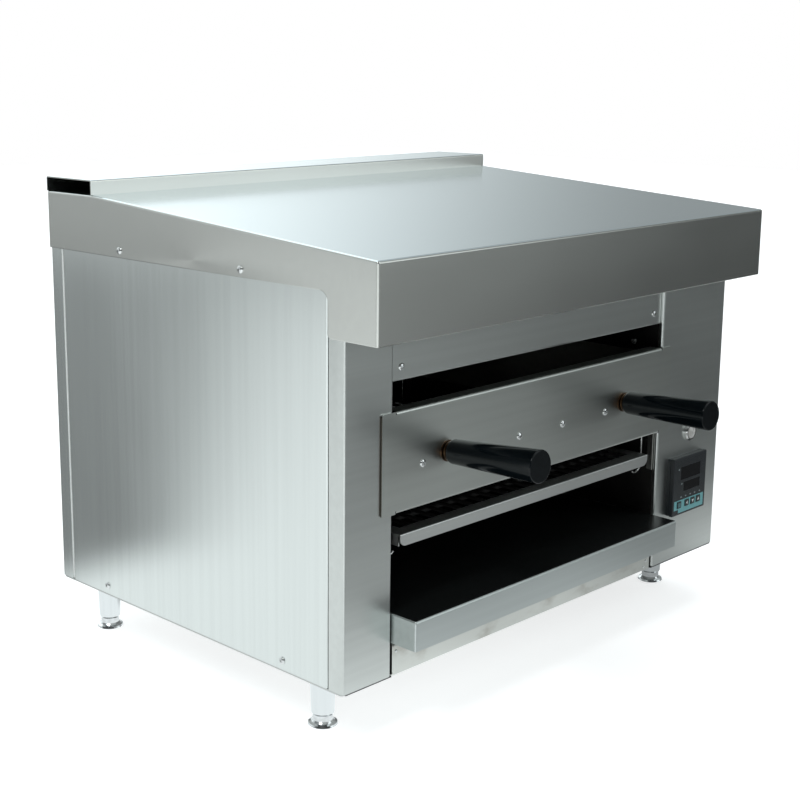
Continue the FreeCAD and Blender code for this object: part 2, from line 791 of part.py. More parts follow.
def controller_clamp():
    """Frame that grips the case behind the panel."""
    body = new_body("controller_clamp")
    half = "(ctrl_case / 2 + 4)"
    shape = rectangle("ctrl_x - " + half, "ctrl_x + " + half, "ctrl_z - " + half, "ctrl_z + " + half)
    add_pad(body, "XZ", "plate", "plate + 12", outline(shape))
    inner = "(ctrl_case / 2 + 0.15)"
    hole = rectangle("ctrl_x - " + inner, "ctrl_x + " + inner, "ctrl_z - " + inner, "ctrl_z + " + inner)
    cut_pocket(body, "XZ", "plate", "plate + 12", outline(hole))
    return body


FRONTWARD = FreeCAD.Rotation(FreeCAD.Vector(1, 0, 0), 90)
REARWARD = FreeCAD.Rotation(FreeCAD.Vector(1, 0, 0), -90)


def turned_body(label, x, y, z, turn):
    """A body whose own z axis points where the turned piece's nose does."""
    body = doc.addObject("PartDesign::Body", label)
    body.Label = label
    body.Placement = FreeCAD.Placement(FreeCAD.Vector(0, 0, 0), turn)
    bind(body, "Placement.Base.x", x)
    bind(body, "Placement.Base.y", "front_y + (%s)" % y)
    bind(body, "Placement.Base.z", "base_z + (%s)" % z)
    return body


def pilot_lamp():
    """Ring and snap-in body through the panel, and a domed lens that sits in the ring."""
    ring = turned_body("pilot_lamp_ring", "lamp_x", 0, "lamp_z", FRONTWARD)
    profile = [(0, -36), ("lamp_body", -36), ("lamp_body", -12), ("lamp_body + 1.2", -4)]
    profile += [("lamp_body + 1.2", "-plate - 0.2"), ("lamp_body", "-plate - 0.2"), ("lamp_body", 0)]
    profile += [("lamp_ring", 0), ("lamp_ring", 2.4), ("lamp_ring - 1.4", 4), ("lamp_ring - 2.6", 4)]
    profile += [("lamp_ring - 2.6", 1.2), (0, 1.2)]
    revolve(ring, profile)
    lens = turned_body("pilot_lamp_lens", "lamp_x", 0, "lamp_z", FRONTWARD)
    radius = "lamp_ring - 2.6"
    revolve(lens, [(0, 1.2), (radius, 1.2), (radius, 3.6), (0, 6.6)], [(3.6, radius, 1.6)])


def hexagon(body, low, high, flats):
    """A hexagonal prism about the body's z axis, sized over its flats."""
    reach = flats / 2 / 0.8660254
    tall = flats / 2
    corners = [(reach, 0), (reach / 2, tall), (-reach / 2, tall)]
    corners += [(-reach, 0), (-reach / 2, -tall), (reach / 2, -tall)]
    add_pad(body, "XY", low, high, outline(corners))


def electrics():
    """Contactor and terminal block, screwed to the base behind the control panel."""
    body = new_body("contactor")
    add_pad(body, "XY", 0, 58, outline(rectangle(228, 273, 300, 370)))
    add_pad(body, "XY", 58, 74, outline(rectangle(228, 273, 316, 354)))
    for y in (302, 358):
        for x in (231.5, 245.5, 259.5):
            cut_pocket(body, "XY", 50, 58, outline(rectangle(x, x + 10, y, y + 9)))
    body = new_body("terminal_block")
    add_pad(body, "XY", 0, 24, outline(rectangle(226, 300, 388, 416)))
    first = cut_pocket(body, "XY", 12, 24, circles([(233, 394), (233, 410)], 3))
    repeat(body, first, "X_Axis", 60, 6)


def temperature_probe():
    """Rod through the cavity's right wall, with a collar outside it."""
    body = new_body("temperature_probe")
    wall = "mid_x + wall_half"
    add_pad(body, "YZ", wall + " - 32", wall + " + 14", circles([PROBE_PLACE], 2.5))
    add_pad(body, "YZ", wall + " + skin", wall + " + skin + 6", circles([PROBE_PLACE], 7))
    return body


def cable_gland():
    """Gland in the rear panel: hexagon and domed nut outside, lock nut inside, bored through."""
    body = turned_body("cable_gland", 262, "rear_face", 45, REARWARD)
    profile = [(5, -12), (8, -12), (8, 0), (11.6, 0), (11.6, 5), (10.6, 5), (10.6, 15), (8, 19.7), (5, 19.7)]
    revolve(body, profile)
    hexagon(body, 0, 5, 24)
    hexagon(body, "-skin - 4", "-skin", 24)
    cut_pocket(body, "XY", -12, 19.7, circles([(0, 0)], 5))
    return body


# Feet


def foot(number, x, y):
    """Tapered sleeve bolted under the base, and a flanged insert that screws in and out."""
    sleeve = turned_body("foot_sleeve_%d" % number, x, y, "-pan_drop", FreeCAD.Rotation())
    bore, deep = "insert_radius + 0.1", "-6"
    profile = [(0, 9), (5, 9), (5, 0), ("sleeve_top_radius", 0)]
    profile += [("sleeve_low_radius", "2 - sleeve_length"), ("sleeve_low_radius - 1.2", "-sleeve_length")]
    profile += [(bore, "-sleeve_length"), (bore, deep), (0, deep)]
    revolve(sleeve, profile)
    hexagon(sleeve, 3, 8, 15)
    insert = turned_body("foot_insert_%d" % number, x, y, "-base_z", FreeCAD.Rotation())
    profile = [(0, 0), ("flange_radius - 1.5", 0), ("flange_radius", 1)]
    profile += [("flange_radius - 0.6", "flange_high"), ("insert_radius + 1.5", "flange_high + 1.2")]
    profile.append(("insert_radius", "flange_high + 3"))
    profile += [("insert_radius", 38), (0, 38)]
    revolve(insert, profile)


# Lift carriage


def front_plate():
    """Plate across the opening: flanged between the stiles, with flat ears in front of them."""
    body = new_body("front_plate")
    face, back = "-front_gap - plate", "-front_gap"
    outer = [("front_flange", "front_high"), (face, "front_high"), (face, "front_low")]
    outer.append(("front_flange", "front_low"))
    inner = [("front_flange", "front_high - plate"), (back, "front_high - plate")]
    inner += [(back, "front_low + plate"), ("front_flange", "front_low + plate")]
    bent_strip(body, "YZ", "mid_x - flange_half", "mid_x + flange_half", outer, inner, "plate")
    for sign in "-+":
        low, high = ("ear_half", "flange_half") if sign == "-" else ("flange_half", "ear_half")
        x_low, x_high = "mid_x %s %s" % (sign, low), "mid_x %s %s" % (sign, high)
        relief = ("flange_half + 1", "flange_half") if sign == "-" else ("flange_half", "flange_half + 1")
        ear = [(x_low, "front_low"), (x_high, "front_low"), (x_high, "front_high"), (x_low, "front_high")]
        add_pad(body, "XZ", face, back, outline(ear))
        tip = "mid_x %s ear_half" % sign
        round_edges(body, 1, [(tip, "front_low"), (tip, "front_high")], 3)
        x_low, x_high = ["mid_x %s (%s)" % (sign, reach) for reach in relief]
        for z_low, z_high in (("front_low - 1", "front_low + 3"), ("front_high - 3", "front_high + 1")):
            notch = rectangle(x_low, x_high, z_low, z_high)
            cut_pocket(body, "XZ", face + " - 1", back, outline(notch))
    cut_pocket(body, "XZ", face, back, circles(plate_screw_places(), "shank_radius + 0.1"))
    cut_pocket(body, "XZ", face, back, circles(handle_places(), 4.2))
    return body


SCREW_OFFSETS = (37.4, 116, 188)


def plate_screw_places():
    return [("mid_x %s %s" % (sign, reach), "screw_z") for sign in "-+" for reach in SCREW_OFFSETS]


def handle_places():
    return [("mid_x %s handle_half" % sign, "handle_z") for sign in "-+"]


def stiffener():
    """Channel behind the front plate, between the side plates, that the screws and studs hold."""
    body = new_body("stiffener_channel")
    front, rear = "-front_gap", "12 - front_gap"
    low, high = "handle_z - 17", "handle_z + 17"
    outer = [(rear, high), (front, high), (front, low), (rear, low)]
    inner = [(rear, high + " - plate"), (front + " + plate", high + " - plate")]
    inner += [(front + " + plate", low + " + plate"), (rear, low + " + plate")]
    reach = "(side_half - plate)"
    bent_strip(body, "YZ", "mid_x - " + reach, "mid_x + " + reach, outer, inner, "plate")
    cut_pocket(body, "XZ", front, front + " + plate", circles(plate_screw_places(), "shank_radius + 0.1"))
    cut_pocket(body, "XZ", front, front + " + plate", circles(handle_places(), 4.2))
    return body


def carriage_side(label, sign):
    """Side plate: a web with guide-pin holes, a drop strip at each end and a ledge for the rack."""
    body = new_body(label)
    outside, inside = "mid_x %s side_half" % sign, "mid_x %s (side_half - plate)" % sign
    low, high = (outside, inside) if sign == "-" else (inside, outside)
    strip, strip_back = "drop_front", "drop_front + drop_width"
    rear_strip, rear_back = "carriage_rear - 14 - drop_width", "carriage_rear - 14"
    rail, rail_top = "ledge_top - plate", "ledge_top + 6"
    web = [("-front_gap", "side_low"), (strip, "side_low"), (strip, "drop_low"), (strip_back, "drop_low")]
    web += [(strip_back, rail), (rear_strip, rail), (rear_strip, "drop_low"), (rear_back, "drop_low")]
    web += [(rear_back, "side_low"), ("carriage_rear", "side_low"), ("carriage_rear", "side_high")]
    web += [("-front_gap", "side_high")]
    add_pad(body, "YZ", low, high, outline(web))
    window = rectangle(strip_back, rear_strip, rail_top, "side_low")
    cut_pocket(body, "YZ", low, high, outline(window))
    ledge = "mid_x %s ledge_inner" % sign
    x_low, x_high = (inside, ledge) if sign == "-" else (ledge, inside)
    add_pad(body, "XY", rail, "ledge_top", outline(rectangle(x_low, x_high, 24, rear_strip)))
    pins = [("slot_front_y", "pin_z"), ("slot_rear_y", "pin_z")]
    cut_pocket(body, "YZ", low, high, circles(pins, 3))
    return body


def tie_bar():
    """Angle that joins the side plates at the rear."""
    body = new_body("carriage_tie_bar")
    back, front = "carriage_rear", "carriage_rear - 16"
    outer = [(front, 240), (back, 240), (back, 196)]
    inner = [(front, "240 - plate"), (back + " - plate", "240 - plate"), (back + " - plate", 196)]
    reach = "(side_half - plate)"
    bent_strip(body, "YZ", "mid_x - " + reach, "mid_x + " + reach, outer, inner, "plate")
    return body


def copies(label, master, places):
    """One node of separate solids: links to a master body, or one master for each place."""
    links = []
    for number, (x, y, z, turn) in enumerate(places, start=1):
        link = doc.addObject("App::Link", "%s_copy_%d" % (label, number))
        link.LinkedObject = master[number - 1] if isinstance(master, list) else master
        link.Placement = FreeCAD.Placement(FreeCAD.Vector(0, 0, 0), turn)
        bind(link, "Placement.Base.x", x)
        bind(link, "Placement.Base.y", "front_y + (%s)" % y)
        bind(link, "Placement.Base.z", "base_z + (%s)" % z)
        links.append(link)
    group = doc.addObject("Part::Compound", label)
    group.Label = label
    group.Links = links
    return group


LEFTWARD = FreeCAD.Rotation(FreeCAD.Vector(0, 1, 0), -90)
RIGHTWARD = FreeCAD.Rotation(FreeCAD.Vector(0, 1, 0), 90)
UNTURNED = FreeCAD.Rotation()
ABOUT_FACE = FreeCAD.Rotation(FreeCAD.Vector(0, 0, 1), 180)


def master_body(label):
    body = doc.addObject("PartDesign::Body", label)
    body.Label = label
    return body


def pan_screw():
    """Pan-head screw: its own z axis leaves the sheet at the head's seat."""
    body = master_body("pan_screw_master")
    profile = [(0, "-shank_long"), ("shank_radius", "-shank_long"), ("shank_radius", 0), ("head_radius", 0)]
    profile += [("head_radius", 0.7), ("head_radius * 0.62", "head_high"), (0, "head_high")]
    revolve(body, profile)
    return body


def all_screws(screw):
    front = [("mid_x %s %s" % (sign, reach), "-front_gap - plate", "screw_z", FRONTWARD)
             for sign in "-+" for reach in SCREW_OFFSETS]
    copies("plate_screws", screw, front)
    places = []
    for sign, turn in (("-", LEFTWARD), ("+", RIGHTWARD)):
        places += [(sign + "case_half", y, SIDE_SCREW_Z, turn) for y in SIDE_SCREWS]
        places += [(sign + "hood_width / 2", y, HOOD_SCREW_Z, turn) for y in HOOD_SCREWS]
        places.append(("mid_x %s 214" % sign, "fascia_y", 310.5, FRONTWARD))
    places.append(("mid_x - wall_half", WALL_SCREW[0], WALL_SCREW[1], RIGHTWARD))
    places.append(("mid_x + wall_half", WALL_SCREW[0], WALL_SCREW[1], LEFTWARD))
    copies("panel_screws", screw, places)


def guide_pins():
    """Shouldered pins through the side plates: each rides in a slot, with a head outside the wall."""
    body = master_body("guide_pin_master")
    profile = [(0, -5), (6, -5), (6, "-plate"), (3, "-plate"), (3, 0), ("pin_radius", 0), ("pin_radius", 5.4)]
    profile += [(7, 5.4), (7, 7.4), (0, 7.4)]
    revolve(body, profile)
    places = []
    for sign, turn in (("-", LEFTWARD), ("+", RIGHTWARD)):
        for y in ("slot_front_y", "slot_rear_y"):
            places.append(("mid_x %s side_half" % sign, y, "pin_z", turn))
    copies("guide_pins", body, places)


def wire_hooks():
    """Round wire bent to a J: a leg on the side plate and a cup that turns in under the rack."""
    body = master_body("wire_hook_master")
    body_radius = value("hook_half - hook_tip_half") / 2
    centre_z = value("hook_low") + body_radius
    top = value("hook_top") - centre_z
    path = sketch_on(body, "XZ", 0)
    vector = FreeCAD.Vector
    circle = Part.Circle(vector(-body_radius, 0, 0), vector(0, 0, 1), body_radius)
    path.addGeometry(Part.LineSegment(vector(0, top, 0), vector(0, 0, 0)))
    path.addGeometry(Part.ArcOfCircle(circle, 3.95, 2 * 3.141592653589793))
    path.addConstraint(Sketcher.Constraint("Tangent", 0, 2, 1, 2))
    hook_rise = "hook_low + (hook_half - hook_tip_half) / 2"
    fix_point(path, 0, 1, (0, "hook_top - (%s)" % hook_rise))
    fix_point(path, 1, 3, ("(hook_tip_half - hook_half) / 2", 0))
    section = sketch_on(body, "XY", "hook_top - (%s)" % hook_rise)
    draw_circle(section, (0, 0), "wire / 2")
    rod = body.newObject("PartDesign::AdditivePipe", "wire_hook_rod")
    rod.Profile = section
    rod.Spine = path
    doc.recompute()
    places = []
    for y in (20, 408):
        places.append(("mid_x - hook_half", y, hook_rise, ABOUT_FACE))
        places.append(("mid_x + hook_half", y, hook_rise, UNTURNED))
    copies("hanger_hooks", body, places)


SIDES = (("left", "-"), ("right", "+"))


def leaning(side, about_swing, about_rise):
    """The small turn that one handle has from square to the plate: to the left, and upwards."""
    swing = FreeCAD.Rotation(about_swing, value(side + "_swing"))
    return swing * FreeCAD.Rotation(about_rise, value(side + "_rise"))


def handle(side, sign):
    """Tapered round grip with a soft root, bored for its stud."""
    down, left = FreeCAD.Vector(0, -1, 0), FreeCAD.Vector(-1, 0, 0)
    turn = FRONTWARD * leaning(side, down, left)
    body = turned_body("handle_grip_" + side, "mid_x %s handle_half" % sign, "-front_gap - plate",
                       "handle_z", turn)
    root, tip = "ferrule_length", "ferrule_length + grip_length"
    profile = [(4.1, root), ("grip_root", root), ("grip_tip", tip), (0, tip), (0, "ferrule_length + 62")]
    profile += [(4.1, "ferrule_length + 62")]
    revolve(body, profile, [(root, "grip_root", 4.5), (tip, "grip_tip", 1.2)])
    return body


def handle_ferrule(side):
    """Seat square to the plate with a stud behind it, then a ring and a stud that lean with the grip."""
    body = master_body("ferrule_%s_master" % side)
    revolve(body, [(0, -9), (4, -9), (4, 0), (11, 0), (11, 1.4), (8.6, 1.8), (0, 1.8)])
    ring = [(0, 0.9), (8.2, 0.9), (8.2, 3), (10.4, 3.4), (10.4, "ferrule_length - 0.3")]
    ring += [(9.9, "ferrule_length"), (4, "ferrule_length")]
    ring += [(4, "ferrule_length + 58"), (0, "ferrule_length + 58")]
    # in the sketch's own plane the swing is about its normal and the rise about its level axis
    normal, level = FreeCAD.Vector(0, 0, 1), FreeCAD.Vector(-1, 0, 0)
    revolve(body, ring, lean=leaning(side, normal, level))
    return body


def handle_fittings():
    places = [("mid_x %s handle_half" % sign, "-front_gap - plate", "handle_z", FRONTWARD) for sign in "-+"]
    copies("handle_ferrules", [handle_ferrule(side) for side, sign in SIDES], places)
    nut = master_body("stud_nut_master")
    hexagon(nut, 0, 5, 13)
    cut_pocket(nut, "XY", 0, 5, circles([(0, 0)], 4.05))
    places = [("mid_x %s handle_half" % sign, "plate - front_gap", "handle_z", REARWARD) for sign in "-+"]
    copies("stud_nuts", nut, places)


# Rack


def rack_frame():
    """Picture frame of angle: a flange all round the top, and upright legs on all four sides."""
    body = new_body("rack_frame")
    left, right = "mid_x - rack_half", "mid_x + rack_half"
    flange_low = "rack_top - plate"
    add_pad(body, "XY", flange_low, "rack_top", outline(rectangle(left, right, "rack_front", "rack_rear")))
    front = rectangle(left, right, "ledge_top", "rack_top")
    add_pad(body, "XZ", "rack_front", "rack_front + plate", outline(front))
    round_edges(body, 1, [(left, "ledge_top"), (right, "ledge_top")], 8)
    gap = "rack_front + plate + 1.2"
    for low, high in ((left, left + " + plate"), (right + " - plate", right)):
        add_pad(body, "YZ", low, high, outline(rectangle(gap, "rack_rear", "ledge_top", flange_low)))
    rear = rectangle(left + " + plate", right + " - plate", "ledge_top", flange_low)
    add_pad(body, "XZ", "rack_rear - plate", "rack_rear", outline(rear))
    inside = rectangle(left + " + rack_flange", right + " - rack_flange",
                       "rack_front + rack_flange", "rack_rear - rack_flange")
    cut_pocket(body, "XY", flange_low, "rack_top", outline(inside))
    round_edges(body, 0, [("rack_front", "rack_top")], 1.2)
    return body


def rack_grid():
    """Wires from front to rear, welded on three cross rods and under the frame's flange."""
    body = new_body("rack_grid")
    wire_z = "rack_top - plate - grid_wire / 2"
    start, end = "rack_front + 8", "rack_rear - 8"
    count = 21
    first_x = "mid_x - grid_pitch * %d" % (count // 2)
    wire = add_pad(body, "XZ", start, end, circles([(first_x, wire_z)], "grid_wire / 2"))
    repeat(body, wire, "X_Axis", value("grid_pitch") * (count - 1), count)
    rod_z = wire_z + " - grid_wire / 2 - grid_rod / 2 + 0.5"
    reach = "(rack_half - plate - 0.1)"
    rods = [(y, rod_z) for y in (60, 208, 356)]
    add_pad(body, "YZ", "mid_x - " + reach, "mid_x + " + reach, circles(rods, "grid_rod / 2"))
    return body


# Drip tray


def drip_tray():
    """Folded pan: a deep box lip, a floor that falls to the rear and low walls round it."""
    body = new_body("drip_tray")
    back = 12
    side = [("tray_front", "lip_bottom"), (back, "lip_bottom"), (back, "tray_bottom")]
    side += [("tray_rear", "tray_bottom"), ("tray_rear", "tray_top"), ("tray_front", "tray_top")]
    add_pad(body, "YZ", "mid_x - tray_half", "mid_x + tray_half", outline(side))
    round_edges(body, 0, [("tray_front", "tray_top")], "bend")
    corners = [("mid_x - tray_half", "tray_front"), ("mid_x + tray_half", "tray_front")]
    round_edges(body, 2, corners, 1.8)
    low, high = "mid_x - tray_half + skin", "mid_x + tray_half - skin"
    floor_rear = "tray_top - tray_fall"
    basin = [(back, "tray_top"), ("tray_rear - skin", floor_rear), ("tray_rear - skin", "tray_top + 2")]
    basin += [(back, "tray_top + 2")]
    cut_pocket(body, "YZ", low, high, outline(basin))
    under = [("tray_front + skin", "lip_bottom - 1"), ("tray_front + skin", "tray_top - skin")]
    under += [(back, "tray_top - skin"), ("tray_rear - skin", floor_rear + " - skin")]
    under += [("tray_rear - skin", "lip_bottom - 1")]
    cut_pocket(body, "YZ", low, high, outline(under))
    hem = rectangle(low, high, "tray_front + skin", "tray_front + 12")
    add_pad(body, "XY", "lip_bottom", "lip_bottom + skin", outline(hem))
    return body


def build_cabinet():
    base_pan()
    side_panel("left_side_panel", "-")
    side_panel("right_side_panel", "")
    rear_panel()
    stile("left_stile", "-")
    control_panel()
    bottom_rail()
    upper_inner_fascia()
    hood()
    flue_channel()


def build_cavity():
    cavity_wall("cavity_left_wall", "-")
    cavity_wall("cavity_right_wall", "+")
    cavity_back_wall()
    cavity_ceiling()
    insulation()
    for number, y in enumerate(ELEMENT_PLACES, start=1):
        heating_element(number, y)
    element_brackets()
    tray_runners()


def build_controls():
    controller_bezel()
    controller_windows()
    controller_housing()
    controller_clamp()
    for number, x in enumerate(KEY_PLACES, start=1):
        controller_key(number, x)
    pilot_lamp()
    electrics()
    temperature_probe()
    cable_gland()


def build_feet():
    for number, (x, y) in enumerate(FOOT_PLACES, start=1):
        foot(number, x, y)


def build_carriage():
    front_plate()
    stiffener()
    carriage_side("carriage_side_left", "-")
    carriage_side("carriage_side_right", "+")
    tie_bar()
    guide_pins()
    wire_hooks()
    for side, sign in SIDES:
        handle(side, sign)
    handle_fittings()
    rack_frame()
    rack_grid()


build_cabinet()
build_cavity()
build_controls()
build_feet()
build_carriage()
drip_tray()
all_screws(pan_screw())
doc.recompute()


# Check every object, then write one file for each sub-part

MASTERS = [item for item in doc.Objects if item.Label.endswith("_master")]
SUB_PARTS = [item for item in doc.Objects if item.TypeId in ("PartDesign::Body", "Part::Compound")]
SUB_PARTS = [item for item in SUB_PARTS if item not in MASTERS]

for item in doc.Objects:
    if "Invalid" in item.State or "Error" in item.State:
        sys.exit("%s failed: %s" % (item.Label, item.State))
for item in SUB_PARTS:
    if item.Shape.isNull() or not item.Shape.isValid():
        sys.exit("%s has no valid shape" % item.Label)

os.makedirs("parts", exist_ok=True)
for item in SUB_PARTS:
    item.Shape.exportStep("parts/%s.step" % item.Label)
print("%d sub-parts written" % len(SUB_PARTS))
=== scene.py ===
# %% [markdown]
# # A salamander grill in brushed steel
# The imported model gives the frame: every sheet, screw and slide already stands in its place, in
# metres, with z up and the front of the grill facing the negative y axis. Here the frame is dressed:
# each sheet gets its brushed finish, small fittings that the solids leave plain are made again with
# their real detail, and a pale studio is set around the grill.

import json
import math

import bmesh
import bpy
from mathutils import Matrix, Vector


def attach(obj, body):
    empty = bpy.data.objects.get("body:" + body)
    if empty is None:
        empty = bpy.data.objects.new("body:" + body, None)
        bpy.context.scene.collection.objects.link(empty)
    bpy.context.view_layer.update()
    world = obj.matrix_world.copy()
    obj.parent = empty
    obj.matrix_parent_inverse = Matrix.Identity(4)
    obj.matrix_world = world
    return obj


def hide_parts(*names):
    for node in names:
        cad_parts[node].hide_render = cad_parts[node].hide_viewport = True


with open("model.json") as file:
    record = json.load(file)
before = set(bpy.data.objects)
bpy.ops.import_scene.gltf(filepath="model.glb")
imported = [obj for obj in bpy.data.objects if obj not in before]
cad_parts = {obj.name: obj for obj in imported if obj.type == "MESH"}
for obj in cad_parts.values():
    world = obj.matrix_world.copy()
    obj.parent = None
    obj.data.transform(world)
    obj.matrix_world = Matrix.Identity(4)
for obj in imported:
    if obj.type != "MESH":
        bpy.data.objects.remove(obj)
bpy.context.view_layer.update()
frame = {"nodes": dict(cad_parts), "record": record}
nodes = frame["nodes"]

# %% [markdown]
# The maker's drawings give every size in millimetres from the front face of the stiles and the
# underside of the panels. One small function turns such a place into the frame's metres, so the
# numbers below can be read against a ruler on the real grill.

# %% Places in the maker's millimetres
FRONT_FACE_Y = -186.5
PANEL_FOOT_Z = 59.5
OPENING_MIDDLE = -33.8


def at(x, y, z):
    """A place on the grill, in millimetres of the drawings, as a point of the frame."""
    return Vector((x, y + FRONT_FACE_Y, z + PANEL_FOOT_Z)) / 1000


print("origin of the drawings:", tuple(round(v, 4) for v in at(0, 0, 0)))

# %% [markdown]
# The camera stands low at the left front corner, a little above the top cover, as a photographer
# would to show side, top and controls at once. Its lens is long, so upright edges stay nearly
# parallel, and a small shift puts the grill where the picture has it.

# %% Camera
CAMERA_PLACE = Vector((-1.24135, -1.10214, 0.65493))
CAMERA_FORWARD = Vector((0.6807, 0.7039, -0.2030)).normalized()
LENS_PIXELS = 1446.7
LENS_AXIS = (322.9, 361.8)
FRAME_PIXELS = 800
SENSOR = 36

camera_data = bpy.data.cameras.new("corner_camera")
camera_data.sensor_width = SENSOR
camera_data.lens = LENS_PIXELS / FRAME_PIXELS * SENSOR
camera_data.shift_x = (FRAME_PIXELS / 2 - LENS_AXIS[0]) / FRAME_PIXELS
camera_data.shift_y = (LENS_AXIS[1] - FRAME_PIXELS / 2) / FRAME_PIXELS
camera = bpy.data.objects.new("corner_camera", camera_data)
bpy.context.scene.collection.objects.link(camera)
camera.location = CAMERA_PLACE
camera.rotation_euler = CAMERA_FORWARD.to_track_quat("-Z", "Y").to_euler()
bpy.context.scene.camera = camera
print("lens", round(camera_data.lens, 1), "mm")

# %% [markdown]
# Walls, floor and finishes are all worked out by nodes, so a few helpers come first. They add a
# node, join two sockets, take a vector apart, do a step of arithmetic, and make the soft step between
# two values that draws every edge of light and every change of gloss below.

# %% Helpers for nodes
WHITE = (1, 1, 1, 1)


def new_node(tree, kind, **settings):
    """Add a node to a tree and set its plain settings."""
    node = tree.nodes.new(kind)
    for name, setting in settings.items():
        setattr(node, name, setting)
    return node


def join(tree, source, target):
    """Link one socket to another."""
    tree.links.new(source, target)


def split_xyz(tree, source):
    """The three parts of a vector."""
    node = new_node(tree, "ShaderNodeSeparateXYZ")
    join(tree, source, node.inputs[0])
    return node.outputs


def sums(tree, operation, first, second=0.0):
    """One step of arithmetic; either side may be a number or a socket."""
    node = new_node(tree, "ShaderNodeMath", operation=operation)
    for index, side in enumerate((first, second)):
        if isinstance(side, (int, float)):
            node.inputs[index].default_value = side
        else:
            join(tree, side, node.inputs[index])
    return node.outputs[0]


def ramp_between(tree, source, start, end, low=0.0, high=1.0):
    """A soft step of a value, from low at start to high at end."""
    node = new_node(tree, "ShaderNodeMapRange", interpolation_type="SMOOTHSTEP")
    join(tree, source, node.inputs["Value"])
    turned = start > end
    bounds = (end, start, high, low) if turned else (start, end, low, high)
    for name, number in zip(("From Min", "From Max", "To Min", "To Max"), bounds):
        node.inputs[name].default_value = number
    return node.outputs["Result"]


def show_to_lens(tree, mirrored, seen, surface):
    """Give one shader to the lens and the other to every ray that comes off the grill."""
    rays = new_node(tree, "ShaderNodeLightPath")
    choice = new_node(tree, "ShaderNodeMixShader")
    join(tree, rays.outputs["Is Camera Ray"], choice.inputs["Fac"])
    join(tree, mirrored, choice.inputs[1])
    join(tree, seen, choice.inputs[2])
    join(tree, choice.outputs[0], surface)


print("helpers ready")

# %% [markdown]
# Polished sheet shows the room more than it shows itself, so the room is lit before the steel is
# made. A studio for steel is mostly dark, with a few large soft cards: their soft edges are the bands
# that run down a brushed panel. The cards are painted on the world by direction, which costs no
# noise. The compass angle runs from the x axis towards y, and the height angle up from the horizon.
# The small strong card is a lamp on the shop's ceiling, which only rims and screw heads catch. What
# the lens sees past the floor is plain white paper.

# %% Studio walls as soft cards
# each card: strength, compass steps (rise from, rise to, fall from, fall to), height steps alike
CARDS = {
    "rear wall": (0.28, (2, 16, 112, 124), (-6, 1, 80, 90)),
    "rear window": (1.25, (30, 58, 92, 118), (-6, 1, 60, 80)),
    "left wall": (0.74, (127.6, 131.8, 152, 172), (-4, 1, 14, 34)),
    "left corner": (0.62, (100, 112, 129, 132), (-4, 1, 40, 60)),
    "front window": (1.4, (-84, -66, -46, -28), (-5, -1, 45, 65)),
    "right wall": (0.26, (-28, -10, 2, 20), (-4, 1, 40, 60)),
    "overhead": (0.34, (-200, -190, 200, 210), (22, 50, 100, 110)),
    "ceiling lamp": (11, (-177, -173, -165, -161), (40, 44, 53, 57)),
}
DARK_ROOM = 0.08
ROOM_TINT = (0.92, 0.995, 1.0, 1)
DEGREES = 180 / math.pi

bpy.context.scene.view_settings.view_transform = "Standard"
world = bpy.data.worlds.new("studio")
world.use_nodes = True
room = world.node_tree
bpy.context.scene.world = world
aim = split_xyz(room, new_node(room, "ShaderNodeTexCoord").outputs["Generated"])
compass = sums(room, "MULTIPLY", sums(room, "ARCTAN2", aim[1], aim[0]), DEGREES)
height = sums(room, "MULTIPLY", sums(room, "ARCSINE", aim[2]), DEGREES)

glow = DARK_ROOM
for strength, across, up in CARDS.values():
    rise = ramp_between(room, compass, across[0], across[1])
    fall = ramp_between(room, compass, across[3], across[2])
    low = ramp_between(room, height, up[0], up[1])
    high = ramp_between(room, height, up[3], up[2])
    card = sums(room, "MULTIPLY", sums(room, "MULTIPLY", rise, fall), sums(room, "MULTIPLY", low, high))
    glow = sums(room, "ADD", glow, sums(room, "MULTIPLY", card, strength))

room_light = room.nodes["Background"]
room_light.inputs["Color"].default_value = ROOM_TINT
join(room, glow, room_light.inputs["Strength"])
backdrop = new_node(room, "ShaderNodeBackground")
backdrop.inputs["Color"].default_value = WHITE
show_to_lens(room, room_light.outputs[0], backdrop.outputs[0], room.nodes["World Output"].inputs["Surface"])
print(len(CARDS), "soft cards")

# %% [markdown]
# The grill stands on pale paper. To the lens the paper is white with a soft shadow. What the steel
# mirrors of it is shaped, as a photographer does with dark cloths laid just outside the picture. The
# first part lies beside the left panel: bright paper as far as the slanting edge of a cloth that
# starts behind the grill, with plain paper again far off. Ahead of the grill it is dimmer. The
# pattern is worked out from the place on the paper, so it stays put when the camera moves.

# %% Paper beside the left panel
FLOOR_HALF = 7.0
BESIDE_BRIGHT, CLOTH_DARK, FAR_PAPER = 1.12, 0.28, 0.68
CLOTH_CORNER = (-0.62, 0.44)
CLOTH_SLOPE = 1.08
CLOTH_FADE = (-0.10, 0.06)
FORWARD_FADE = (-0.30, -0.55)
FORWARD_SHARE = 0.4
FAR_FADE = (-2.15, -2.5)

floor_mesh = bpy.data.meshes.new("paper_floor")
floor_corners = [(x * FLOOR_HALF, y * FLOOR_HALF, 0) for x, y in ((-1, -1), (1, -1), (1, 1), (-1, 1))]
floor_mesh.from_pydata(floor_corners, [], [(0, 1, 2, 3)])
floor = bpy.data.objects.new("paper_floor", floor_mesh)
bpy.context.scene.collection.objects.link(floor)
paper_finish = bpy.data.materials.new("studio_paper")
paper_finish.use_nodes = True
tree = paper_finish.node_tree
x, y, _ = split_xyz(tree, new_node(tree, "ShaderNodeTexCoord").outputs["Object"])

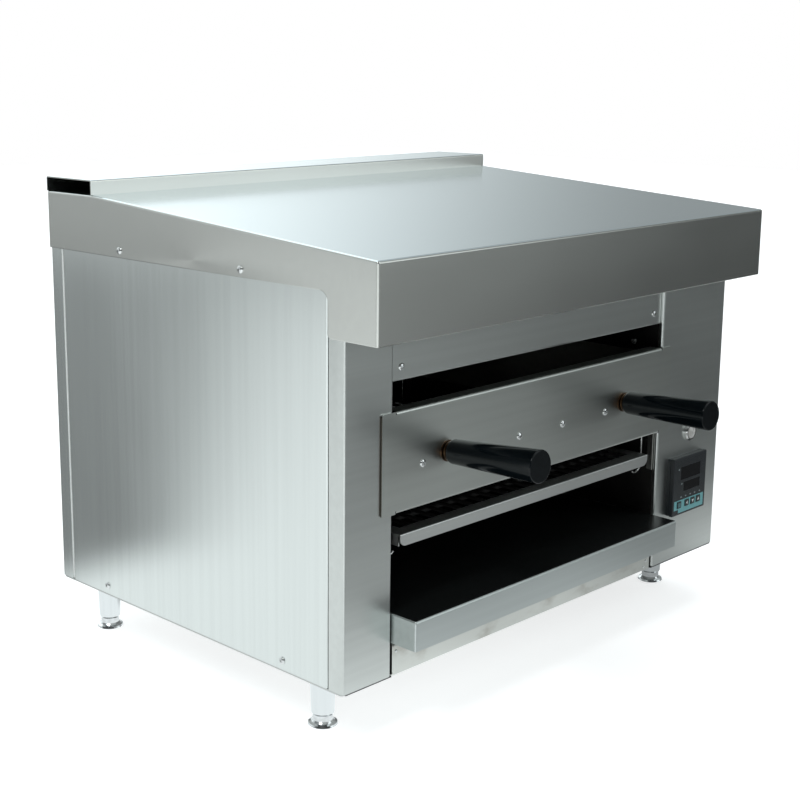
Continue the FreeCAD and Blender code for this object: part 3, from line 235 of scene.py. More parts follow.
cloth_run = sums(tree, "MAXIMUM", sums(tree, "SUBTRACT", CLOTH_CORNER[0], x), 0.0)
cloth_edge = sums(tree, "ADD", sums(tree, "MULTIPLY", cloth_run, CLOTH_SLOPE), CLOTH_CORNER[1])
beyond_edge = sums(tree, "SUBTRACT", y, cloth_edge)
left_glow = ramp_between(tree, beyond_edge, *CLOTH_FADE, BESIDE_BRIGHT, CLOTH_DARK)
left_glow = sums(tree, "MULTIPLY", left_glow, ramp_between(tree, y, *FORWARD_FADE, 1.0, FORWARD_SHARE))
far_off = ramp_between(tree, x, *FAR_FADE)
left_glow = sums(tree, "MULTIPLY", left_glow, sums(tree, "SUBTRACT", 1.0, far_off))
left_glow = sums(tree, "ADD", left_glow, sums(tree, "MULTIPLY", far_off, FAR_PAPER))
print("paper", 2 * FLOOR_HALF, "m square")

# %% [markdown]
# The second part lies before the front. Close to the grill the paper is lit from the left end and
# more from the right, where the control panel looks down. Farther out it fades with distance and
# towards the right, which gives the front its slow fall from left to right.

# %% Paper before the front
NEAR_FADE, NEAR_STRENGTH = (0.08, 0.28), 0.42
NEAR_LEFT_FADE, NEAR_LEFT = (0.02, -0.14), 0.55
NEAR_RIGHT_FADE, NEAR_MIDDLE, NEAR_RIGHT = (0.36, 0.50), 0.8, 1.9
FAN_REACH = 0.15
FAN_FADE, FAN_RIGHT = (0.5, 1.5), 0.22
OUTWARD_FADE, OUTWARD_NEAR, OUTWARD_FAR = (0.20, 0.62), 0.47, 0.26
UNDER_FADE, UNDER_SHARE = (-0.15, 0.02), 0.42

before_front = sums(tree, "SUBTRACT", FRONT_FACE_Y / 1000, y)
from_left = ramp_between(tree, x, *NEAR_LEFT_FADE, 0.0, NEAR_LEFT)
from_right = ramp_between(tree, x, *NEAR_RIGHT_FADE, NEAR_MIDDLE, NEAR_RIGHT)
near_front = sums(tree, "MULTIPLY", sums(tree, "ADD", from_left, from_right),
                  ramp_between(tree, before_front, *NEAR_FADE, NEAR_STRENGTH, 0.0))
sideways = sums(tree, "DIVIDE", x, sums(tree, "ADD", before_front, FAN_REACH))
far_front = sums(tree, "MULTIPLY", ramp_between(tree, sideways, *FAN_FADE, 1.0, FAN_RIGHT),
                 ramp_between(tree, before_front, *OUTWARD_FADE, OUTWARD_NEAR, OUTWARD_FAR))
front_glow = sums(tree, "MULTIPLY", sums(tree, "ADD", near_front, far_front),
                  ramp_between(tree, y, *UNDER_FADE, 1.0, UNDER_SHARE))
print("front paper:", len(tree.nodes), "nodes so far")

# %% [markdown]
# Both parts meet under the left side of the grill. A last patch off the left front corner is the
# brightest: only the round folds and rims look that way, and it draws their thin white lines. To the
# lens the paper is a plain pale sheet with a little light of its own, so that it stays white.

# %% The whole paper
LEFT_SIDE_X = -0.33
MEETING = (0.08, 0.15)
CORNER_SIDEWAYS, CORNER_FORWARD, CORNER_BRIGHT = (-0.09, -0.26), (-0.34, -0.50), 0.95
PAPER_TINT = (0.94, 0.995, 1.0, 1)
PAPER_COLOUR, PAPER_ROUGHNESS, PAPER_OWN_LIGHT = (0.7, 0.71, 0.72, 1), 0.9, 0.66

on_left = ramp_between(tree, x, LEFT_SIDE_X + MEETING[0], LEFT_SIDE_X + MEETING[1], 1.0, 0.0)
left_share = sums(tree, "MULTIPLY", left_glow, on_left)
front_share = sums(tree, "MULTIPLY", front_glow, sums(tree, "SUBTRACT", 1.0, on_left))
corner_start, corner_end = (LEFT_SIDE_X + step for step in CORNER_SIDEWAYS)
near_corner = sums(tree, "MULTIPLY", ramp_between(tree, x, corner_start, corner_end, 0.0, CORNER_BRIGHT),
                   ramp_between(tree, y, *CORNER_FORWARD))
mirrored = sums(tree, "ADD", sums(tree, "ADD", left_share, front_share), near_corner)

mirrored_light = new_node(tree, "ShaderNodeEmission")
mirrored_light.inputs["Color"].default_value = PAPER_TINT
join(tree, mirrored, mirrored_light.inputs["Strength"])
seen = tree.nodes["Principled BSDF"]
seen.inputs["Base Color"].default_value = PAPER_COLOUR
seen.inputs["Roughness"].default_value = PAPER_ROUGHNESS
seen.inputs["Emission Color"].default_value = WHITE
seen.inputs["Emission Strength"].default_value = PAPER_OWN_LIGHT
surface = tree.nodes["Material Output"].inputs["Surface"]
show_to_lens(tree, mirrored_light.outputs[0], seen.outputs[0], surface)
floor.data.materials.append(paper_finish)
print("paper pattern:", len(tree.nodes), "nodes")

# %% [markdown]
# One soft lamp from the upper left lays the faint shadow on the paper and gives the grips and the
# rims their small lights.

# %% Soft lamp
LAMP_PLACE = Vector((-1.3, -0.5, 1.7))
LAMP_TARGET = Vector((0, -0.1, 0.3))
lamp_data = bpy.data.lights.new("soft_lamp", "AREA")
lamp_data.shape = "RECTANGLE"
lamp_data.size = 0.5
lamp_data.size_y = 0.3
lamp_data.energy = 5
lamp = bpy.data.objects.new("soft_lamp", lamp_data)
lamp.location = LAMP_PLACE
lamp.rotation_euler = (LAMP_TARGET - LAMP_PLACE).to_track_quat("-Z", "Y").to_euler()
bpy.context.scene.collection.objects.link(lamp)
print("lamp of", lamp_data.energy, "W")

# %% [markdown]
# Brushed stainless steel is mirror metal with thousands of fine parallel scratches. Across the
# scratches the reflection smears wide, along them it stays tight, so the shader is a metal with
# anisotropy. A noise stretched along the grain moves the roughness and a faint bump, a broader one
# makes the long streaks of the rolling mill, and a slow cloud is what hands and cloths leave. The
# renderer's denoiser treats metal rougher than about 0.27 as a surface of its own and smoother metal
# as a mirror, so each finish stays on one side of that, or fine speckles appear.

# %% Brushed steel
ALONG = {"x": (1, 0, 0), "y": (0, 1, 0), "z": (0, 0, 1)}
# marks per metre, across the grain and along it
FINE_GRAIN = (1500, 14)
COARSE_GRAIN = (160, 1.6)
HAND_CLOUD = (7, 3)
CLOUD_PLAY = (-0.015, 0.02)
SCRATCH_DEPTH = 0.00005


def stretched_noise(tree, along, across_scale, along_scale, detail):
    """Noise drawn out along one axis of the object, as brush marks are."""
    place = new_node(tree, "ShaderNodeTexCoord")
    stretch = new_node(tree, "ShaderNodeMapping")
    stretch.inputs["Scale"].default_value = [along_scale if flag else across_scale for flag in ALONG[along]]
    join(tree, place.outputs["Object"], stretch.inputs["Vector"])
    marks = new_node(tree, "ShaderNodeTexNoise")
    marks.inputs["Scale"].default_value = 1
    marks.inputs["Detail"].default_value = detail
    join(tree, stretch.outputs[0], marks.inputs["Vector"])
    return marks.outputs["Fac"]


def tone_between(tree, factor, dark, light):
    """A colour that moves between two tones."""
    mix = new_node(tree, "ShaderNodeMix", data_type="RGBA")
    join(tree, factor, mix.inputs["Factor"])
    mix.inputs["A"].default_value = (*dark, 1)
    mix.inputs["B"].default_value = (*light, 1)
    return mix.outputs["Result"]


def new_finish(name):
    """A fresh material with its node tree and its shader."""
    finish = bpy.data.materials.new(name)
    finish.use_nodes = True
    return finish, finish.node_tree, finish.node_tree.nodes["Principled BSDF"]


def scaled(colour, factor):
    """A colour made lighter or darker."""
    return tuple(min(1.0, part * factor) for part in colour)


def fine_bump(tree, shader, marks, strength, distance):
    """Let a noise raise the surface a little."""
    bump = new_node(tree, "ShaderNodeBump")
    bump.inputs["Strength"].default_value = strength
    bump.inputs["Distance"].default_value = distance
    join(tree, marks, bump.inputs["Height"])
    join(tree, bump.outputs[0], shader.inputs["Normal"])


def brushed_steel(name, colour, roughness, along, turn_axis="X", anisotropy=0.5, streaks=0.02, scratch=0.02,
                  play=0.01):
    """Sheet with a grain along one axis; the grain's cross direction goes round turn_axis."""
    finish, tree, shader = new_finish(name)
    fine = stretched_noise(tree, along, *FINE_GRAIN, 2)
    coarse = stretched_noise(tree, along, *COARSE_GRAIN, 2)
    cloud = stretched_noise(tree, along, *HAND_CLOUD, 2)
    streak_share = ramp_between(tree, coarse, 0.25, 0.75)
    tone = tone_between(tree, streak_share, scaled(colour, 1 - streaks), scaled(colour, 1 + streaks))
    join(tree, tone, shader.inputs["Base Color"])
    shader.inputs["Metallic"].default_value = 1
    shader.inputs["Anisotropic"].default_value = anisotropy
    smoother, rougher = (roughness + step for step in CLOUD_PLAY)
    rough = sums(tree, "ADD", ramp_between(tree, fine, 0.2, 0.8, -play, play),
                 ramp_between(tree, cloud, 0.3, 0.7, smoother, rougher))
    join(tree, rough, shader.inputs["Roughness"])
    fine_bump(tree, shader, fine, scratch, SCRATCH_DEPTH)
    tangent = new_node(tree, "ShaderNodeTangent", direction_type="RADIAL", axis=turn_axis)
    join(tree, tangent.outputs[0], shader.inputs["Tangent"])
    return finish


FRONT_GRAIN = dict(roughness=0.30, along="x", anisotropy=0.4, streaks=0.025, scratch=0.0, play=0.007)
# painted light and shade: the side steel is given a lighter colour and the front steel a darker one, for
# one and the same stainless sheet lit on the side and shaded on the front
BRUSHED = {
    "side_steel": dict(colour=(0.67, 0.70, 0.69), roughness=0.21, along="z", turn_axis="Z"),
    "top_steel": dict(colour=(0.60, 0.605, 0.58), roughness=0.24, along="x", streaks=0.012),
    "front_steel": dict(colour=(0.585, 0.605, 0.59), **FRONT_GRAIN),
    "inner_steel": dict(colour=(0.42, 0.42, 0.40), roughness=0.38, along="x", streaks=0.05),
    "rack_steel": dict(colour=(0.60, 0.61, 0.60), roughness=0.33, along="x", streaks=0.03),
    "foot_sleeve_steel": dict(colour=(0.73, 0.75, 0.76), roughness=0.14, along="z", turn_axis="Z",
                              anisotropy=0.1, streaks=0.03, play=0.005),
}
FINISHES = {name: brushed_steel(name, **look) for name, look in BRUSHED.items()}
print(len(FINISHES), "brushed finishes")

# %% [markdown]
# Some sheets change their look from place to place: where they face another way, or where something
# has stained them. The same helper blends any finish to other values where a share between 0 and 1
# is high. The top cover needs it first. Its upper face is polished smoother than its aprons, and its
# colour is made lighter and cooler: a painted reflection of the cool light above.

# %% A finish that changes with its place


def facing(finish, axis):
    """How far the surface looks along an axis, from -1 to 1."""
    tree = finish.node_tree
    return split_xyz(tree, new_node(tree, "ShaderNodeNewGeometry").outputs["Normal"])[axis]


def blend_where(finish, share, changes):
    """Blend a finish's sockets to other values where share is high."""
    tree = finish.node_tree
    shader = tree.nodes["Principled BSDF"]
    for socket, new_look in changes.items():
        single = isinstance(new_look, float)
        mix = new_node(tree, "ShaderNodeMix", data_type="FLOAT" if single else "RGBA")
        join(tree, share, mix.inputs["Factor"])
        first, second = [slot for slot in mix.inputs if slot.enabled and slot.name in ("A", "B")]
        if shader.inputs[socket].links:
            join(tree, shader.inputs[socket].links[0].from_socket, first)
        else:
            first.default_value = shader.inputs[socket].default_value
        second.default_value = new_look if single else (*new_look, 1)
        join(tree, [slot for slot in mix.outputs if slot.enabled][0], shader.inputs[socket])


top = FINISHES["top_steel"]
top_upward = ramp_between(top.node_tree, facing(top, 2), 0.5, 0.9)
# painted reflection: the upward face gets a lighter, cooler colour for the cool light it mirrors; its lower
# roughness is its own polish
blend_where(top, top_upward, {"Base Color": (0.605, 0.67, 0.70), "Roughness": 0.15})
print("top cover finish:", len(top.node_tree.nodes), "nodes")

# %% [markdown]
# The front plate's thin side edges are painted dark next to the brushed face: painted shade for the
# shadow in the gap where the plate lies over the stiles. Its finish is the front steel with that dark
# tone wherever the surface looks sideways.

# %% Painted shade on the side edges of the front plate
PLATE_STEEL = brushed_steel("plate_steel", (0.58, 0.60, 0.575), **FRONT_GRAIN)
plate_tree = PLATE_STEEL.node_tree
edge_shade_share = ramp_between(plate_tree, sums(plate_tree, "ABSOLUTE", facing(PLATE_STEEL, 0)), 0.75, 0.95)
# painted shade: faces that look sideways are darkened for the shadow in the gap beside the stiles
blend_where(PLATE_STEEL, edge_shade_share, {"Base Color": (0.07, 0.06, 0.05)})
print("plate finish:", len(plate_tree.nodes), "nodes")

# %% [markdown]
# The bottom rail is wiped every day with the tray out, and fat from the tray's edge dries on it. Its
# steel is the front's, with blotches that are duller and a little darker and warmer than the rest.

# %% Stained rail
BLOTCHES_PER_METRE = (42, 25.2)
RAIL_STEEL = brushed_steel("rail_steel", (0.66, 0.67, 0.64), 0.30, "x", anisotropy=0.3, streaks=0.01,
                           scratch=0.0)
rail_tree = RAIL_STEEL.node_tree
blotches = stretched_noise(rail_tree, "x", *BLOTCHES_PER_METRE, 4)
blend_where(RAIL_STEEL, ramp_between(rail_tree, blotches, 0.50, 0.82), {"Base Color": (0.44, 0.42, 0.38)})
rail_rough = ramp_between(rail_tree, blotches, 0.40, 0.75, 0.28, 0.38)
join(rail_tree, rail_rough, rail_tree.nodes["Principled BSDF"].inputs["Roughness"])
print("rail finish:", len(rail_tree.nodes), "nodes")

# %% [markdown]
# Not every metal here is brushed. Screws, wire and the feet's flanges are bright and smooth, the
# cavity's sheet is painted near black as painted shade for its closed, dark inside, the element
# sheaths are oxidised, and the ferrules are brass that has turned brown. They share one recipe: a
# metal whose tone and gloss wander with a plain noise.

# %% Other metals


def mottled_metal(name, dark, light, roughness, patch, gloss_play, metallic=1.0):
    """Metal between two tones, with that many patches to the metre."""
    finish, tree, shader = new_finish(name)
    place = new_node(tree, "ShaderNodeTexCoord")
    patches = new_node(tree, "ShaderNodeTexNoise")
    patches.inputs["Scale"].default_value = patch
    patches.inputs["Detail"].default_value = 4
    join(tree, place.outputs["Object"], patches.inputs["Vector"])
    share = patches.outputs["Fac"]
    tone = tone_between(tree, ramp_between(tree, share, 0.3, 0.7), dark, light)
    join(tree, tone, shader.inputs["Base Color"])
    rough = ramp_between(tree, share, 0.3, 0.7, roughness - gloss_play, roughness + gloss_play)
    join(tree, rough, shader.inputs["Roughness"])
    shader.inputs["Metallic"].default_value = metallic
    return finish


# dark tone, light tone, roughness, patches to the metre, play of the roughness, share of metal
METALS = {
    "screw_steel": ((0.66, 0.67, 0.67), (0.78, 0.79, 0.79), 0.2, 400, 0.05),
    "foot_insert_steel": ((0.60, 0.61, 0.62), (0.72, 0.73, 0.74), 0.14, 200, 0.04),
    "wire_steel": ((0.52, 0.52, 0.51), (0.66, 0.66, 0.65), 0.24, 150, 0.03),
    "lamp_ring": ((0.62, 0.62, 0.61), (0.72, 0.72, 0.71), 0.18, 300, 0.04),
    # painted shade: the cavity's sheet is near black for the dark inside the grill
    "cavity_steel": ((0.018, 0.018, 0.018), (0.04, 0.038, 0.036), 0.5, 14, 0.1, 0.6),
    # painted shade: the grid is near black for the dark under the elements
    "grid_steel": ((0.006, 0.006, 0.006), (0.016, 0.015, 0.014), 0.7, 120, 0.1, 0.3),
    "base_steel": ((0.46, 0.47, 0.46), (0.54, 0.55, 0.54), 0.4, 20, 0.08),
    "element_tube": ((0.05, 0.05, 0.045), (0.12, 0.12, 0.11), 0.55, 90, 0.1, 0.7),
    "ferrule_brass": ((0.03, 0.017, 0.010), (0.12, 0.068, 0.036), 0.36, 160, 0.06),
}
for name, look in METALS.items():
    FINISHES[name] = mottled_metal(name, *look)
print(len(FINISHES), "metals so far")

# %% [markdown]
# The drip tray is one folded sheet, but it shows two faces: outside, the satin steel of the lip,
# and inside, a floor painted near black with a gloss: painted shade for the dark under the carriage.
# The floor is told from the lip by the way its surface points, straight up, so the change follows the
# fold by itself.

# %% Drip tray
# painted shade: the tray floor is near black for the dark under the carriage
TRAY_FLOOR_SHADE = {"Base Color": (0.008, 0.009, 0.009), "Roughness": 0.24, "Metallic": 0.0}
tray = brushed_steel("tray_steel", (0.545, 0.58, 0.575), 0.30, "x", streaks=0.03, scratch=0.0, play=0.007)
blend_where(tray, ramp_between(tray.node_tree, facing(tray, 2), 0.80, 0.97), TRAY_FLOOR_SHADE)
FINISHES["tray_steel"] = tray
print("tray finish:", len(tray.node_tree.nodes), "nodes")

# %% [markdown]
# The plastics: black thermoset grips with a deep gloss and faint lengthwise flow lines from the
# mould, a fine matt skin on the controller, smoked windows, and pale mouldings behind the panel.
# Mineral wool is a matted fibre, so its bump is a dense noise and its surface has no gloss, only the
# faint sheen of loose fibres.

# %% Plastics and wool
SKIN_DEPTH = 0.00008
FLOW_ALONG = 9
GRIP_SPECULAR = 0.22
WOOL_SHEEN = 0.2


def moulded(name, dark, light, roughness, texture, depth, along=None):
    """Moulded stuff with that many marks to the metre on its skin, drawn out along an axis if given."""
    finish, tree, shader = new_finish(name)
    marks = stretched_noise(tree, along or "x", texture, FLOW_ALONG if along else texture, 3)
    tone = tone_between(tree, ramp_between(tree, marks, 0.3, 0.7), dark, light)
    join(tree, tone, shader.inputs["Base Color"])
    rough = ramp_between(tree, marks, 0.3, 0.7, roughness - 0.04, roughness + 0.05)
    join(tree, rough, shader.inputs["Roughness"])
    fine_bump(tree, shader, marks, depth, SKIN_DEPTH)
    return finish


# dark tone, light tone, roughness, marks to the metre, strength of the bump, axis of the flow lines
MOULDINGS = {
    "grip_plastic": ((0.002, 0.0035, 0.0045), (0.004, 0.006, 0.0075), 0.13, 260, 0.6, "y"),
    "bezel_plastic": ((0.008, 0.011, 0.014), (0.013, 0.017, 0.021), 0.3, 2200, 0.12),
    "window_plastic": ((0.004, 0.004, 0.005), (0.006, 0.006, 0.007), 0.08, 500, 0.02),
    "key_plastic": ((0.012, 0.018, 0.02), (0.02, 0.03, 0.032), 0.4, 1800, 0.2),
    "lamp_lens": ((0.50, 0.48, 0.46), (0.62, 0.60, 0.58), 0.16, 700, 0.1),
    "electric_plastic": ((0.55, 0.55, 0.52), (0.64, 0.64, 0.61), 0.45, 900, 0.1),
    "gland_plastic": ((0.02, 0.02, 0.021), (0.032, 0.032, 0.033), 0.42, 1200, 0.15),
    "mineral_wool": ((0.38, 0.36, 0.27), (0.66, 0.63, 0.50), 0.95, 420, 1.0),
}
for name, look in MOULDINGS.items():
    FINISHES[name] = moulded(name, *look)
grip_shader = FINISHES["grip_plastic"].node_tree.nodes["Principled BSDF"]
grip_shader.inputs["Specular IOR Level"].default_value = GRIP_SPECULAR
wool_shader = FINISHES["mineral_wool"].node_tree.nodes["Principled BSDF"]
wool_shader.inputs["Sheen Weight"].default_value = WOOL_SHEEN
print(len(FINISHES), "finishes in all")

# %% [markdown]
# Every node of the frame names its slot in the record, and the finishes above carry the same
# names, so one loop dresses the whole grill. The grid of the rack has the same wire as the hooks,
# but it is given a near-black finish: painted shade for the dark under the elements.

# %% Dress the frame
slot_of = {row["node"]: row["material_slot"] for row in frame["record"]["subparts"]}
for node_name, piece in nodes.items():
    piece.data.materials.clear()
    piece.data.materials.append(FINISHES[slot_of[node_name]])
# painted shade: the grid's near-black finish stands for the dark under the elements
nodes["rack_grid"].data.materials[0] = FINISHES["grid_steel"]
nodes["front_plate"].data.materials[0] = PLATE_STEEL
nodes["bottom_rail"].data.materials[0] = RAIL_STEEL
print("dressed:", len(slot_of), "nodes with", len(set(slot_of.values())), "finishes")

# %% [markdown]
# ## Fasteners
# The sheets are held by pan-head screws with a cross recess. The solids give each one a plain head;
# here the head is turned as a low dome and the recess is cut into it. One head is modelled, and a
# small tree of Geometry Nodes sets it on every screw's place, square to its sheet and turned by
# chance, as no fitter lines up the slots. The same tree later sets rivets and small marks.

# %% A tree that sets a pattern on places
TURN_SEED = 7


def placing_tree(pattern, finish):
    """Nodes that put a pattern object on each point, its z axis along the point's outward vector."""
    tree = bpy.data.node_groups.new("set_on_places", "GeometryNodeTree")
    tree.interface.new_socket("Places", in_out="INPUT", socket_type="NodeSocketGeometry")
    tree.interface.new_socket("Turn", in_out="INPUT", socket_type="NodeSocketFloat")
    tree.interface.new_socket("Set", in_out="OUTPUT", socket_type="NodeSocketGeometry")
    given = new_node(tree, "NodeGroupInput")
    result = new_node(tree, "NodeGroupOutput")
    outward = new_node(tree, "GeometryNodeInputNamedAttribute", data_type="FLOAT_VECTOR")
    outward.inputs["Name"].default_value = "outward"
    facing = new_node(tree, "FunctionNodeAlignRotationToVector", axis="Z")
    join(tree, outward.outputs["Attribute"], facing.inputs["Vector"])
    chance = new_node(tree, "FunctionNodeRandomValue", data_type="FLOAT")
    chance.inputs["Seed"].default_value = TURN_SEED
    most = next(slot for slot in chance.inputs if slot.enabled and slot.name == "Max")
    join(tree, given.outputs["Turn"], most)
    spin = new_node(tree, "FunctionNodeAxisAngleToRotation")
    spin.inputs["Axis"].default_value = (0, 0, 1)
    join(tree, [slot for slot in chance.outputs if slot.enabled][0], spin.inputs["Angle"])
    both = new_node(tree, "FunctionNodeRotateRotation", rotation_space="LOCAL")
    join(tree, facing.outputs[0], both.inputs["Rotation"])
    join(tree, spin.outputs[0], both.inputs["Rotate By"])
    shape = new_node(tree, "GeometryNodeObjectInfo")
    shape.inputs["Object"].default_value = pattern
    shape.inputs["As Instance"].default_value = True
    setting = new_node(tree, "GeometryNodeInstanceOnPoints")
    join(tree, given.outputs["Places"], setting.inputs["Points"])
    join(tree, shape.outputs["Geometry"], setting.inputs["Instance"])
    join(tree, both.outputs[0], setting.inputs["Rotation"])
    solid = new_node(tree, "GeometryNodeRealizeInstances")
    join(tree, setting.outputs[0], solid.inputs[0])
    paint = new_node(tree, "GeometryNodeSetMaterial")
    paint.inputs["Material"].default_value = finish
    join(tree, solid.outputs[0], paint.inputs["Geometry"])
    join(tree, paint.outputs[0], result.inputs[0])
    return tree


def new_piece(name, mesh):
    """An object at the origin that shows a mesh."""
    piece = bpy.data.objects.new(name, mesh)
    bpy.context.scene.collection.objects.link(piece)
    return piece


def set_pattern(name, pattern, places, finish, body, turn=0.0):
    """A plain mesh with the pattern on each (place, outward) pair, riding on one body.

    Each copy is turned by chance, up to the given angle.
    """
    mesh = bpy.data.meshes.new(name)
    mesh.from_pydata([place for place, _ in places], [], [])
    facing = mesh.attributes.new("outward", "FLOAT_VECTOR", "POINT")
    for row, (_, outward) in zip(facing.data, places):
        row.vector = outward
    seeds = new_piece(name + "_places", mesh)
    modifier = seeds.modifiers.new("set_on_places", "NODES")
    modifier.node_group = placing_tree(pattern, finish)
    for item in modifier.node_group.interface.items_tree:
        if item.in_out == "INPUT" and item.name == "Turn":
            modifier[item.identifier] = turn
    baked = bpy.data.meshes.new_from_object(seeds.evaluated_get(bpy.context.evaluated_depsgraph_get()))
    seeds.modifiers.remove(modifier)
    bpy.data.objects.remove(seeds)
    piece = new_piece(name, baked)
    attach(piece, body)
    print(name + ":", len(places), "places,", len(baked.polygons), "faces")
    return piece


print("placing tree ready")

# %% [markdown]
# The head is a lathe shape: a short upright rim, a domed top and a flat middle. The cross is two bars
# taken out of it with a boolean, which leaves clean upright walls that catch a dark line each.

# %% Turned shapes
MM = 0.001


def finished_mesh(made, name, smooth_angle=None):
    """Turn a bmesh into a mesh, its edges sharp where they bend by more than the angle."""
    mesh = bpy.data.meshes.new(name)
    made.to_mesh(mesh)
    made.free()
    if smooth_angle is not None:
        mesh.shade_smooth()
        mesh.set_sharp_from_angle(angle=math.radians(smooth_angle))
    return mesh


def lathe(profile, steps):
    """Turn a profile of (radius, height) rows in millimetres round the z axis, and close its ends."""
    made = bmesh.new()
    turns = [2 * math.pi * step / steps for step in range(steps)]
    rings = []
    for radius, rise in profile:
        if radius == 0:
            rings.append([made.verts.new((0, 0, rise * MM))])
            continue
        ring = [Vector((radius * math.cos(turn), radius * math.sin(turn), rise)) * MM for turn in turns]
        rings.append([made.verts.new(place) for place in ring])
    for lower, upper in zip(rings, rings[1:]):
        for step in range(steps):
            after = (step + 1) % steps
            if len(upper) == 1:
                made.faces.new((lower[step], lower[after], upper[0]))
            else:
                made.faces.new((lower[step], lower[after], upper[after], upper[step]))
    made.faces.new(list(reversed(rings[0])))
    bmesh.ops.recalc_face_normals(made, faces=made.faces)
    return made


def block(made, low, high):
    """Add a closed block between two corners to a bmesh."""
    sides = list(zip(low, high))
    points = [made.verts.new((x, y, z)) for z in sides[2] for y in sides[1] for x in sides[0]]
    for face in ((0, 2, 3, 1), (4, 5, 7, 6), (0, 1, 5, 4), (2, 6, 7, 3), (0, 4, 6, 2), (1, 3, 7, 5)):
        made.faces.new([points[index] for index in face])


print("lathe and block ready")

# %% Pan head with a cross recess
DOME = [(3.78, 0.95), (3.35, 1.35), (2.7, 1.72), (1.9, 2.0), (1.0, 2.14), (0.0, 2.18)]
HEAD_PROFILE = [(4.0, 0.0), (4.0, 0.55)] + DOME
HEAD_STEPS = 28
RECESS_LONG = 4.4
RECESS_WIDE = 0.95
RECESS_FLOOR = 0.9
ABOVE_HEAD = 4.0


def cut_with(piece_mesh, cutter_mesh, name):
    """Subtract one closed mesh from another."""
    body, tool = new_piece("cut_body", piece_mesh), new_piece("cut_tool", cutter_mesh)
    modifier = body.modifiers.new("cut", "BOOLEAN")
    modifier.operation = "DIFFERENCE"
    modifier.solver = "EXACT"
    modifier.object = tool
    mesh = bpy.data.meshes.new_from_object(body.evaluated_get(bpy.context.evaluated_depsgraph_get()))
    mesh.name = name
    bpy.data.objects.remove(body)
    bpy.data.objects.remove(tool)
    return mesh


def pan_head():
    """One screw head: the dome, less the two bars of the cross."""
    mesh = finished_mesh(lathe(HEAD_PROFILE, HEAD_STEPS), "pan_dome", 40)
    for across, along in ((RECESS_LONG, RECESS_WIDE), (RECESS_WIDE, RECESS_LONG)):
        bar = bmesh.new()
        far_corner = Vector((across / 2, along / 2, ABOVE_HEAD)) * MM
        block(bar, (-far_corner.x, -far_corner.y, RECESS_FLOOR * MM), far_corner)
        mesh = cut_with(mesh, finished_mesh(bar, "cross_bar"), "pan_head")
    return new_piece("pan_head_pattern", mesh)


head_pattern = pan_head()
print("pan head:", len(head_pattern.data.polygons), "faces")

# %% [markdown]
# Two screws low on each side panel, two on each hood apron, two on the upper fascia and one on each
# wall of the cavity hold the case. Six more hold the front plate to the channel of the lift, and
# those ride up and down with it.

# %% Screws
SIDE_FACE = 328.5
HOOD_FACE = 330.0
WALL_HALF = 231.4
PANEL_SCREWS_Y, PANEL_SCREWS_Z = (87, 381.5), 9.5
HOOD_SCREWS_Y, HOOD_SCREWS_Z = (142, 339), 398
FASCIA_SCREW = (214, 4, 310.5)
WALL_SCREW_Y, WALL_SCREW_Z = 40.7, 271
PLATE_FRONT_Y, PLATE_SCREWS_Z = -1.9, 211
PLATE_SCREWS_REACH = (37.4, 116, 188)
FRONTWARD, LEFTWARD, RIGHTWARD = Vector((0, -1, 0)), Vector((-1, 0, 0)), Vector((1, 0, 0))
QUARTER_TURN = math.pi / 2

panel_places, plate_places = [], []
for way, outward, inward in ((-1, LEFTWARD, RIGHTWARD), (1, RIGHTWARD, LEFTWARD)):
    panel_places += [(at(way * SIDE_FACE, y, PANEL_SCREWS_Z), outward) for y in PANEL_SCREWS_Y]
    panel_places += [(at(way * HOOD_FACE, y, HOOD_SCREWS_Z), outward) for y in HOOD_SCREWS_Y]
    panel_places.append((at(OPENING_MIDDLE + way * FASCIA_SCREW[0], *FASCIA_SCREW[1:]), FRONTWARD))
    panel_places.append((at(OPENING_MIDDLE + way * WALL_HALF, WALL_SCREW_Y, WALL_SCREW_Z), inward))
    for reach in PLATE_SCREWS_REACH:
        plate_places.append((at(OPENING_MIDDLE + way * reach, PLATE_FRONT_Y, PLATE_SCREWS_Z), FRONTWARD))

screw_steel = FINISHES["screw_steel"]
panel_heads = set_pattern("panel_screw_heads", head_pattern, panel_places, screw_steel,
                          "cabinet", turn=QUARTER_TURN)
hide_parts("panel_screws")
plate_heads = set_pattern("plate_screw_heads", head_pattern, plate_places, screw_steel,
                          "carriage", turn=QUARTER_TURN)
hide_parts("plate_screws")
bpy.data.objects.remove(head_pattern)

# %% [markdown]
# Three small round rivets hold the bottom rail, one at its left end and two at the right, close to the
# fold.

# %% Rivets of the bottom rail
RIVET_PROFILE = [(1.6, 0.0), (1.6, 0.25), (1.3, 0.6), (0.8, 0.8), (0.0, 0.88)]
RIVET_SPOTS = ((-254.2, 24.0), (183.0, 10.4), (179.1, 2.9))
RAIL_FACE_Y = 1
rivet_pattern = new_piece("rivet_pattern", finished_mesh(lathe(RIVET_PROFILE, 16), "rivet_head", 50))
rivet_places = [(at(x, RAIL_FACE_Y, z), FRONTWARD) for x, z in RIVET_SPOTS]
set_pattern("rail_rivets", rivet_pattern, rivet_places, screw_steel, "cabinet")
bpy.data.objects.remove(rivet_pattern)

# %% [markdown]
# ## Seams
# Where the rear panel wraps round the corner it leaves a gap of two millimetres beside each side
# panel. A pale bead is set in that gap as a painted highlight: it shows as a white line the height
# of the side, standing for the light caught by the rounded fold of the panel's rear edge. It is swept
# here from a short arc, bulging a little and unevenly along its length.

